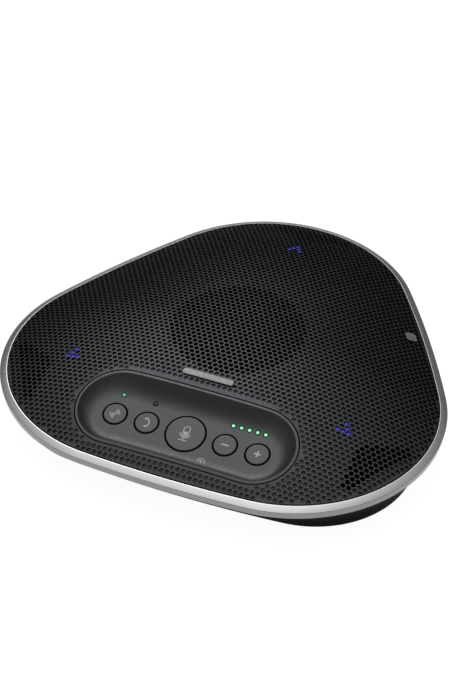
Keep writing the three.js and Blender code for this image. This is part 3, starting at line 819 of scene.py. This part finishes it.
def make_rim():
    """A brushed band: a steep lower face, a wide upper face and a polished inner lip, the lower face
    and the lip in darker copies of the metal as painted shade.
    """
    # Its section is drawn as insets from the outline and heights above the outer crease.
    top_lean = RIM_RISE / RIM_FACE
    fold = 0.22
    upper = fillet((0.03, -fold), (0.0, 0.0), (fold, fold * top_lean))
    land = [(3.25, 3.25 * top_lean), (3.32, 3.31 * top_lean), (3.4, 3.36 * top_lean)]
    lip_top = 3.45 * top_lean
    lip = fillet((3.68, lip_top), (RIM_FACE, lip_top), (RIM_FACE, RIM_RISE - 0.8), 5)
    section = [
        (0.75, -RIM_SKIRT),
        (0.6, -RIM_SKIRT + 0.15),
        *upper,
        (2.0, 2.0 * top_lean + 0.05),
        *land,
        *lip,
        (RIM_FACE, 0.5),
        (2.4, -0.6),
        (2.4, -RIM_SKIRT),
    ]
    angles = full_circle(360)
    rings = [ring(rim_radius(angles, inset), RIM_HEIGHT + height) for inset, height in section]
    lower_bands = 4
    upper_bands = 7
    lip_bands = len(lip) - 1
    # Surfaces by band: 0 the silver upper face, 1 the lower face and inner wall in painted shade, 2
    # the lip, polished and painted darker as shade.
    bands = [1] * lower_bands + [0] * upper_bands + [2] * lip_bands
    bands += [1] * (len(section) - len(bands))
    surfaces = [RIM_SILVER, RIM_LOWER_SHADE, RIM_POLISH_AND_SHADE]
    make_piece("rim_band", loft(rings, True, bands), surfaces, ["rim_trim"])


CASE_TOP_INSET = 2.8
CASE_WALL = 2.2
OUTSIDE = 130.0    # a y that lies well behind the case
CASE_ROWS = [  # height, share of the way from the footprint to the rim, inset
    (1.0, 0.0, 2.0),
    (1.2, 0.0, 1.2),
    (1.8, 0.0, 0.5),
    (3.0, 0.0, 0.0),
    (5.0, 0.05, 0.0),
    (8.0, 0.17, 0.0),
    (10.8, 0.33, 0.0),
    (13.0, 0.52, 0.0),
    (14.8, 0.68, 0.0),
    (16.6, 0.85, 0.0),
    (18.8, 1.0, 0.0),
    (21.9, 1.0, 0.0),
]
ROOM_ROWS = [(4.0, 0.0, 0.0), (14.8, 0.6, 0.0), (22.4, 1.0, 0.0)]
BAY = {"half_width": 24.0, "back": 92.0, "low": 5.9, "high": 16.4, "wall": 2.0}
PORT_GAP = 0.35
PORTS = {  # middle x, width, low, height
    "usb": (-14.0, 9.0, 9.3, 3.4),
    "audio": (9.5, 7.0, 9.3, 5.0),
    "dc": (18.5, 8.0, 9.3, 6.0),
}
FOOT_POSITION = 80.0
FOOT_RADIUS = 9.0
FOOT_TOP = 1.8
FOOT_GROOVES = (3.05, 6.05)    # the middles of the ring-shaped grooves under each foot


def case_rings(rows, wall=0.0):
    """The case's outline at rising heights, from its footprint out to the rim."""
    angles = full_circle(240)
    rings = []
    for height, widened, inset in rows:
        low = triangle_radius(angles, inset=inset, **FOOTPRINT)
        radii = low + (rim_radius(angles, CASE_TOP_INSET) - low) * widened - wall
        rings.append(ring(radii, height))
    return rings


def block(x, y, z, radius=0.6):
    """A box along Y with rounded long edges."""
    outline = rounded_rectangle(x[1] - x[0], z[1] - z[0], radius)
    prism = extruded(outline, 0.0, y[1] - y[0])
    turn = Matrix.Rotation(math.pi / 2, 4, "X")
    middle = Matrix.Translation(((x[0] + x[1]) / 2, y[1], (z[0] + z[1]) / 2))
    return placed(prism, middle @ turn)


def make_lower_case():
    """The tapered tub, hollow, with the socket bay, the sockets' openings and feet wells."""
    shell = loft(case_rings(CASE_ROWS))
    room = loft(case_rings(ROOM_ROWS, CASE_WALL))
    half, back, low, high, wall = BAY.values()
    bay_walls = block((-half - wall, half + wall), (back - wall, OUTSIDE), (0, high + wall), 1.0)
    inside = cut_away("case_room", room, bay_walls)
    cutters = [block((-half, half), (back, OUTSIDE), (low, high), 1.2)]
    for middle, width, port_low, height in PORTS.values():
        sides = (middle - width / 2 - PORT_GAP, middle + width / 2 + PORT_GAP)
        levels = (port_low - PORT_GAP, port_low + height + PORT_GAP)
        cutters.append(block(sides, (back - wall - 1, back + 1), levels))
    for degrees in CORNERS.values():
        well = turned([(FOOT_RADIUS + 0.4, 0.0), (FOOT_RADIUS + 0.4, FOOT_TOP + GAP)], 48)
        cutters.append(shifted(well, *at_corner(FOOT_POSITION, degrees)))
    mesh = cut_away("case_tub", shell, inside, *cutters)
    make_piece("case_tub", mesh, [CASE_BLACK_AND_GAP_SHADE], ["lower_case"], sharp=30)


def make_feet():
    """Rubber feet with a grooved underside and a soft edge."""
    groove = ((-0.45, 0.0), (-0.25, 0.25), (0.25, 0.25), (0.45, 0.0))
    profile = [(0.8, 0.0)]
    for middle in FOOT_GROOVES:
        profile += [(middle + aside, height) for aside, height in groove]
    profile += fillet((8.4, 0.0), (FOOT_RADIUS, 0.0), (FOOT_RADIUS, 0.6))
    profile += [(FOOT_RADIUS, FOOT_TOP)]
    for corner, degrees in CORNERS.items():
        pad = shifted(turned(profile), *at_corner(FOOT_POSITION, degrees))
        make_piece(f"pad_{corner}", pad, [RUBBER], [f"foot_{corner}"])


# ---- control panel


def panel_ring(inset, height_at):
    """The panel's outline, drawn in by an inset and set at the heights of a surface."""
    x, y = np.array(stadium(PANEL_RADIUS - inset)).T
    return np.column_stack([x, y, height_at(x, y)])


BUTTONS = {  # middle x, hole radius
    "pairing": (-OUTER_BUTTON_X, SMALL_BUTTON_HOLE),
    "call": (-INNER_BUTTON_X, SMALL_BUTTON_HOLE),
    "mute": (0.0, BIG_BUTTON_HOLE),
    "volume_down": (INNER_BUTTON_X, SMALL_BUTTON_HOLE),
    "volume_up": (OUTER_BUTTON_X, SMALL_BUTTON_HOLE),
}
LEDS = {"pairing_led_lens": -OUTER_BUTTON_X, "call_led_lens": -INNER_BUTTON_X}
LEDS |= {
    f"level_led_lens_{number}": x
    for number, x in enumerate(np.linspace(INNER_BUTTON_X, OUTER_BUTTON_X, LEVEL_LEDS), 1)
}

PANEL_EDGE = 0.25    # the small slant round the panel's outer edge
HOLE_BEVEL = 0.15
THROUGH = 6    # how far a hole's cutter reaches each side of the floor
FLANK_SHARES = (0.03, 0.07, 0.12, 0.18, 0.26, 0.35, 0.45, 0.55, 0.65, 0.74, 0.83, 0.92, 1.0)
HOLE_WALL_SLOPE = 0.3    # a face whose normal leans this little out of the floor is a hole's wall, painted black as shade
ON_SURFACE = 0.02    # a vertex this near the surface's height is on it,
SAME_SLOPE = math.cos(math.radians(20))    # and so is a face this near its slope


def make_panel():
    """The sunk dish with its lip, less the holes for the buttons and the lamps."""
    insets = [PANEL_EDGE, PANEL_LIP - 0.35, PANEL_LIP]
    insets += [PANEL_LIP + PANEL_FLANK * share for share in FLANK_SHARES]
    insets += [PANEL_LIP + PANEL_FLANK + 0.4]

    def under(x, y):
        return panel_height(x, y) - PANEL_WALL

    rings = [panel_ring(inset, under) for inset in insets[::-1]]
    rings += [panel_ring(0.0, lambda x, y: dome_height(x, y) - PANEL_WALL)]
    rings += [panel_ring(0.0, lambda x, y: dome_height(x, y) - PANEL_EDGE)]
    rings += [panel_ring(inset, panel_height) for inset in insets]
    cutters = []
    for x, hole in BUTTONS.values():
        mouth = hole + HOLE_BEVEL
        flare = [(hole, -THROUGH), (hole, -HOLE_BEVEL), (mouth, 0.0), (mouth, THROUGH)]
        cutters.append(in_dish(turned(flare, 72), x))
    for x in LEDS.values():
        bore = [(LED_RADIUS + 0.2, -THROUGH), (LED_RADIUS + 0.2, THROUGH)]
        cutters.append(in_dish(turned(bore, 24), x, LED_ROW))
    mesh = cut_away("panel_dish", loft(rings), merged(*cutters))
    out = DISH.col[2].xyz
    # The holes' walls are painted black, as shade in the gaps round the buttons and lamps.
    for face in mesh.polygons:
        face.material_index = int(abs(face.normal.dot(out)) < HOLE_WALL_SLOPE)
    surfaces = [PANEL_GREY, CASE_BLACK_AND_GAP_SHADE]
    dish = make_piece("panel_dish", mesh, surfaces, ["control_panel"], sharp=40)
    follow_panel(dish.data)


def follow_panel(mesh):
    """Shades the panel's top by its own slope, whatever faces the holes have left."""
    places = np.empty(len(mesh.vertices) * 3)
    mesh.vertices.foreach_get("co", places)
    x, y, z = (places.reshape(-1, 3) / MM - np.array([0, AXIS_Y, 0])).T
    normals = unit_normals(panel_height, x, y, 0.05)
    on_top = np.abs(panel_height(x, y) - z) < ON_SURFACE
    own_shade = (0.0, 0.0, 0.0)
    chosen = []
    for face in mesh.polygons:
        for vertex in face.vertices:
            along = on_top[vertex] and face.normal.dot(Vector(normals[vertex])) > SAME_SLOPE
            chosen.append(tuple(normals[vertex]) if along else own_shade)
    mesh.normals_split_custom_set(chosen)


def button_shape(hole):
    """A cap with a rounded edge, the flange that keeps it in, and its stem."""
    cap = hole - BUTTON_GAP
    flange_top = -PANEL_WALL - GAP
    flange_low = flange_top - 0.8
    profile = [
        (STEM_RADIUS, STEM_LOW),
        (STEM_RADIUS, flange_low),
        (hole + 0.8, flange_low),
        (hole + 0.8, flange_top),
        (cap, flange_top),
        *fillet((cap, CAP_TOP - 0.3), (cap, CAP_TOP), (cap - 0.35, CAP_TOP), 5),
        (cap - 1.5, CAP_TOP),
    ]
    # The cap's side below its rounded edge is painted black, as shade in the gap round it.
    shaded_side_bands = 5
    return turned(profile, 96, [1] * shaded_side_bands + [0] * (len(profile) - 1 - shaded_side_bands))


def lens_shape():
    """A lamp's light pipe with a domed end: a dark outer ring and a bright middle."""
    crown = [(LED_RADIUS, 0.0), (LED_RADIUS * 0.97, 0.12), (LED_RADIUS * 0.86, 0.22)]
    profile = [(LED_RADIUS, LED_LOW), *crown, (LED_RADIUS * 0.3, 0.3)]
    return turned(profile, 32, [1, 1, 1, 0])


def shade_collar_shape():
    """A thin ring round a lamp: painted shade of the gap round the lens, tinted green by painted glow
    where the lamp is lit.
    """
    inner, outer = LED_RADIUS + 0.03, LED_RADIUS + 0.5
    section = [(inner, -0.3), (outer, -0.3), (outer, 0.04), (inner, 0.07)]
    return turned(section, 32, hoop=True)


# ---- printed marks
# Marks are drawn in millimetres in the dish frame's plane.

PRINT = 0.06    # how far a printed mark stands up
END = np.linspace(0.15, math.pi / 2, 5)    # angles round a line's rounded end


def ribbon(path, width, closed=False):
    """The two edges of a line of even width along a path, with rounded ends if it is open."""
    path = np.array(path, float)
    if closed:
        ahead, behind = np.roll(path, -1, 0), np.roll(path, 1, 0)
        run = ahead - behind
        widths = np.full(len(path), width / 2)
    else:
        run = np.gradient(path, axis=0)
        first, last = path[0], path[-1]
        starts = [first - width / 2 * math.cos(a) * run[0] / np.linalg.norm(run[0]) for a in END]
        ends = [last + width / 2 * math.cos(a) * run[-1] / np.linalg.norm(run[-1]) for a in END]
        caps = [width / 2 * math.sin(a) for a in END]
        widths = np.array(caps + [width / 2] * (len(path) - 2) + caps[::-1])
        path = np.concatenate([starts, path[1:-1], ends[::-1]])
        run = np.gradient(path, axis=0)
    run /= np.linalg.norm(run, axis=1)[:, None]
    side = np.stack([-run[:, 1], run[:, 0]], 1) * widths[:, None]
    return path + side, path - side


def raised_line(path, width, closed=False):
    """A thin raised line along a path, from z = 0 to PRINT."""
    sections = [
        [(*right, 0.0), (*left, 0.0), (*left, PRINT), (*right, PRINT)]
        for left, right in zip(*ribbon(path, width, closed))
    ]
    return loft(sections, hoop=closed)


def arc(radius, start, end, middle=(0, 0), steps=16):
    """Points along a circle between two angles in degrees."""
    angles = np.radians(np.linspace(start, end, steps))
    return [(middle[0] + radius * math.cos(a), middle[1] + radius * math.sin(a)) for a in angles]


def bar(start, end, width):
    return raised_line(np.linspace(start, end, 6), width)


def dot(radius, middle=(0, 0)):
    return extruded(arc(radius, 0, 345, middle, 24), 0, PRINT)


def capsule_path(length, width, middle=(0, 0)):
    """A closed upright capsule outline."""
    radius = width / 2
    lift = length / 2 - radius
    x, y = middle
    return arc(radius, 0, 180, (x, y + lift)) + arc(radius, 180, 360, (x, y - lift))


def microphone_icon():
    """A capsule with a solid lower half, in a cradle on a stem and a base."""
    body = (0.0, 1.2)
    length, width, line = 5.8, 3.0, 0.5
    parts = [raised_line(capsule_path(length, width, body), line, True)]
    fill_radius = width / 2 - 0.55
    low = (0, body[1] - length / 2 + width / 2)
    fill = [(fill_radius, body[1] - 0.1), (-fill_radius, body[1] - 0.1)]
    parts.append(extruded(fill + arc(fill_radius, 180, 360, low), 0, PRINT))
    parts.append(raised_line(arc(2.6, 190, 350, (0, 0.15)), line))
    stem = [(-0.25, -2.6), (-0.25, -3.7), (-2.4, -3.7), (-2.4, -4.2)]
    base = stem + [(-x, y) for x, y in stem[::-1]]
    parts.append(extruded(base, 0, PRINT))
    return merged(*parts)


def handset_icon():
    """A telephone receiver: a bowed handle with a thick ear and mouth end."""
    handle = arc(2.6, -58, 58, (-1.3, 0), 24)
    ends = [bar((0.05, 2.35 * up), (-0.75, 2.05 * up), 0.95) for up in (1, -1)]
    tilt = Matrix.Rotation(math.radians(12), 4, "Z")
    return placed(merged(raised_line(handle[2:-2], 0.62), *ends), tilt)


def signal_icon():
    """Two pairs of arcs about a dot, for pairing with another device."""
    parts = [dot(0.55)]
    for radius in (1.35, 2.35):
        for middle_angle in (0, 180):
            wave = arc(radius, middle_angle - 42, middle_angle + 42)
            parts.append(raised_line(wave, 0.5))
    return placed(merged(*parts), Matrix.Rotation(math.radians(45), 4, "Z"))


def minus_icon():
    return bar((-1.7, 0), (1.7, 0), 0.8)


def plus_icon():
    arm, half = 1.75, 0.4
    quarter = [(arm, -half), (arm, half), (half, half)]
    outline = []
    for turn in range(4):
        cos, sin = round(math.cos(turn * math.pi / 2)), round(math.sin(turn * math.pi / 2))
        outline += [(x * cos - y * sin, x * sin + y * cos) for x, y in quarter]
    return extruded(outline, 0, PRINT)


ICONS = {
    "pairing": signal_icon,
    "call": handset_icon,
    "mute": microphone_icon,
    "volume_down": minus_icon,
    "volume_up": plus_icon,
}


def make_buttons():
    """The five caps, with their marks, on their own bodies."""
    for name, (x, hole) in BUTTONS.items():
        body = f"{name}_key"
        cap = in_dish(button_shape(hole), x)
        # The second surface paints the cap's side black, as shade in the gap.
        surfaces = [BUTTON_GREY, CASE_BLACK_AND_GAP_SHADE]
        make_piece(f"{name}_cap", cap, surfaces, [f"{name}_button"], body)
        mark = in_dish(ICONS[name](), x, 0.0, CAP_TOP)
        make_piece(f"{name}_mark", mark, [PRINT_GREY], body=body)


MARK_SINK = 0.01    # so that a mark's underside doesn't lie in the panel's own face


def on_panel(shape):
    """Lays a shape drawn in the dish frame's plane on the panel's surface."""
    points, faces, materials = shape
    x, y, _ = placed((points * [1, 1, 0], faces, materials), DISH)[0].T
    height = panel_height(x, y) + points[:, 2] - MARK_SINK
    return np.column_stack([x, y, height]), faces, materials


def make_panel_marks():
    """The arc over a dot below the middle button, and the thin lines each side of it."""
    middle = (12.97, -12.3)
    badge = merged(raised_line(arc(1.75, -8, 188, middle), 0.45), dot(0.62, middle))
    make_piece("reset_mark", on_panel(badge), [PRINT_GREY])
    left = np.array([(4.9, -10.1), (6.2, -11.3), (7.8, -12.2), (9.6, -12.7)])
    right = np.array([(15.9, -13.1), (18.0, -12.7), (20.0, -11.6), (21.4, -9.9), (21.9, -8.2)])
    lines = merged(*(raised_line(smoothed(path), 0.36) for path in (left, right)))
    make_piece("guide_lines", on_panel(lines), [LINE_GREY])


def smoothed(path):
    """Corner cutting, which turns a few points into a smooth line."""
    for _ in range(3):
        near = path[:-1] * 0.75 + path[1:] * 0.25
        far = path[:-1] * 0.25 + path[1:] * 0.75
        middle = np.stack([near, far], 1).reshape(-1, 2)
        path = np.concatenate([path[:1], middle, path[-1:]])
    return path


LAMP_LOOKS = {  # the lens and its ring, where they aren't lit bright green; the ring's surface also paints the collar round the lens, as shade
    "pairing_led_lens": [GREEN_DIM, GREEN_RING],
    "call_led_lens": [DARK_LENS, RUBBER],
}


def make_lamps():
    """The panel's lamps with their collars of painted shade, and the status lights' pipes."""
    for name, x in LEDS.items():
        surfaces = LAMP_LOOKS.get(name, [GREEN_CORE, GREEN_RING])
        lens = in_dish(lens_shape(), x, LED_ROW)
        make_piece(name.replace("lens", "lamp"), lens, surfaces, [name])
        shade_collar = on_panel(shifted(shade_collar_shape(), x, LED_ROW))
        make_piece(name.replace("led_lens", "shade_collar"), shade_collar, [surfaces[1]])
    for corner, degrees in CORNERS.items():
        surfaces = [BLUE_GLOW, BLUE_RING]
        make_piece(f"light_pipes_{corner}", light_pipes(degrees), surfaces)


PLATES = {  # length, width, thickness, place, turn
    "name_plate": (27, 3.6, 0.5, (0, -39.5), 0.0),
    "contact_tile": (6, 6, 0.4, at_corner(90, 30), math.radians(30)),
}


def make_plates():
    """A blank bar and a blank tile, which carry no lettering or mark."""
    for name, (length, width, thick, (x, y), spin) in PLATES.items():
        outline = rounded_rectangle(length, width, 1.2, 8)
        rings = []
        for share, height in ((1, 0), (1, thick - 0.15), (0.985, thick - 0.04), (0.95, thick)):
            rings.append([(px * share, py * share, height + GAP) for px, py in outline])
        plate = placed(loft(rings), dome_frame(x, y, spin))
        make_piece(name.replace("_", "_blank_"), plate, [PLATE_GREY], [name])


# ---- carried-over CAD nodes

CAD_FINISHES = {  # by words in the nodes' names
    "frame chamber": CASE_BLACK_AND_GAP_SHADE,
    "board": BOARD,
    "switch shield usb basket magnet screw": STEEL,
    "coil": COPPER,
    "jack": PANEL_GREY,
    "cone dust_cap": CONE_PAPER,
    "surround gasket boot": RUBBER,
    "spider cloth capsule": CLOTH,
    "status_light": BLUE_GLOW,
}


def finish_cad_nodes():
    """Gives each CAD node that still shows a finish of its own."""
    for name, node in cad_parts.items():
        if node.hide_render:
            continue
        kind = next(key for key in CAD_FINISHES if any(word in name for word in key.split()))
        node.data.materials.clear()
        node.data.materials.append(CAD_FINISHES[kind])


# ---- studio

CAMERA_PLACE = Vector((0.280856, -0.736371, 0.684660))
CAMERA_AZIMUTH = math.radians(21.645)    # anticlockwise from straight in front of the unit
CAMERA_ELEVATION = math.radians(40.12)
CAMERA_ROLL = math.radians(0.89)
SENSOR_LONG_SIDE = 36.0    # in mm, like the lens
LENS = 102.78386


def make_camera():
    """The camera in front of the unit, a little to its right, looking down on it."""
    camera = bpy.data.objects.new("camera", bpy.data.cameras.new("camera"))
    bpy.context.scene.collection.objects.link(camera)
    pan = Matrix.Rotation(CAMERA_AZIMUTH, 4, "Z")
    tilt = Matrix.Rotation(math.pi / 2 - CAMERA_ELEVATION, 4, "X")
    roll = Matrix.Rotation(CAMERA_ROLL, 4, "Z")
    camera.matrix_world = Matrix.Translation(CAMERA_PLACE) @ pan @ tilt @ roll
    camera.data.sensor_width = SENSOR_LONG_SIDE
    camera.data.lens = LENS
    camera.data.clip_start = 0.05
    camera.data.clip_end = 20
    bpy.context.scene.camera = camera


# Brightness of the sky, by the cosine of the angle from its brightest place.
SKY = {0.0: 0.10, 0.3: 0.09, 0.5: 0.13, 0.7: 0.25, 0.85: 0.44, 0.96: 0.84, 1.0: 1.1}
SKY_LEAN = math.radians(6)         # that place leans from overhead to the key light
KEY_AZIMUTH = math.radians(123)    # a soft key light behind the unit, to the left
KEY_ELEVATION = math.radians(48.5)
KEY_BRIGHTNESS = 3.85
KEY_SPREAD = math.radians(12.7)
SHADE_AZIMUTH = math.radians(-20)  # a darker part of the sky, over the unit's right
SHADE_ELEVATION = math.radians(60)
SHADE_DEPTH = 0.5
SHADE_SPREAD = math.radians(22)
FLOOR_GLOW = 0.95
FLOOR_EDGE_GLOW = 0.5
GLOW_RADIUS = 0.42       # metres from the middle to where the floor starts to dim,
GLOW_END = 0.95          # and to where it is at its dimmest
FLOOR_HALF_SIDE = 6.0
FLOOR_LEVEL = -0.0002    # just below the feet, so that their faces don't meet


def towards(azimuth, elevation):
    """A direction, with the azimuth anticlockwise from the unit's right."""
    level = math.cos(elevation)
    return level * math.cos(azimuth), level * math.sin(azimuth), math.sin(elevation)


def make_sky():
    """A soft light overhead with a darker patch at the right, and a soft key light."""
    world = bpy.data.worlds.new("studio")
    world.use_nodes = True
    nodes, links = world.node_tree.nodes, world.node_tree.links
    direction = nodes.new("ShaderNodeTexCoord").outputs["Generated"]

    def along(axis):
        node = nodes.new("ShaderNodeVectorMath")
        node.operation = "DOT_PRODUCT"
        node.inputs[1].default_value = axis
        links.new(direction, node.inputs[0])
        return node.outputs["Value"]

    def calculated(value, operation, number=0.0):
        node = nodes.new("ShaderNodeMath")
        node.operation = operation
        node.inputs[1].default_value = number
        links.new(value, node.inputs[0])
        return node.outputs[0]

    def soft_spot(axis, spread, brightness):
        short = calculated(along(axis), "SUBTRACT", 1.0)
        fall = calculated(calculated(short, "MULTIPLY", 2 / spread**2), "EXPONENT")
        return calculated(fall, "MULTIPLY", brightness)

    ramp = nodes.new("ShaderNodeValToRGB")
    stops = ramp.color_ramp.elements
    while len(stops) < len(SKY):
        stops.new(0.5)    # its real place is set below
    brightest = max(SKY.values())
    for stop, (height, brightness) in zip(stops, SKY.items()):
        stop.position = height
        stop.color = (*[brightness / brightest] * 3, 1)
    top = towards(KEY_AZIMUTH, math.pi / 2 - SKY_LEAN)
    links.new(along(top), ramp.inputs["Fac"])
    shade_axis = towards(SHADE_AZIMUTH, SHADE_ELEVATION)
    shade = soft_spot(shade_axis, SHADE_SPREAD, -SHADE_DEPTH * brightest)
    background = nodes["Background"]
    links.new(ramp.outputs["Color"], background.inputs["Color"])
    links.new(calculated(shade, "ADD", brightest), background.inputs["Strength"])

    key = nodes.new("ShaderNodeBackground")
    key_light = soft_spot(towards(KEY_AZIMUTH, KEY_ELEVATION), KEY_SPREAD, KEY_BRIGHTNESS)
    links.new(key_light, key.inputs["Strength"])
    both = nodes.new("ShaderNodeAddShader")
    links.new(background.outputs[0], both.inputs[0])
    links.new(key.outputs[0], both.inputs[1])
    links.new(both.outputs[0], nodes["World Output"].inputs["Surface"])
    bpy.context.scene.world = world


def make_floor():
    """A plain pale floor that glows softly and dims a little far away."""
    finish = Finish("floor_white", Roughness=0.9, Specular_IOR_Level=0.0, Emission_Strength=1.0)
    finish.colours(finish.noise(40), grey(0.30), grey(0.32))
    distance = finish.node("VectorMath")
    distance.operation = "LENGTH"
    finish.link(finish.place, distance.inputs[0])
    fade = finish.node(
        "MapRange", From_Min=GLOW_RADIUS, From_Max=GLOW_END, To_Min=FLOOR_GLOW, To_Max=FLOOR_EDGE_GLOW
    )
    fade.interpolation_type = "SMOOTHSTEP"
    finish.link(distance.outputs["Value"], fade.inputs["Value"])
    finish.link(fade.outputs["Result"], finish.shader.inputs["Emission Color"])
    mesh = bpy.data.meshes.new("floor")
    side = FLOOR_HALF_SIDE
    corners = [(-side, -side), (side, -side), (side, side), (-side, side)]
    mesh.from_pydata([(x, y, FLOOR_LEVEL) for x, y in corners], [], [(0, 1, 2, 3)])
    mesh.materials.append(finish.material)
    floor = bpy.data.objects.new("floor", mesh)
    bpy.context.scene.collection.objects.link(floor)


# ---- assembly

bpy.context.scene.view_settings.view_transform = "Standard"
make_camera()
make_sky()
make_floor()
make_grille()
make_rim()
make_lower_case()
make_feet()
make_panel()
make_buttons()
make_panel_marks()
make_lamps()
make_plates()
finish_cad_nodes()
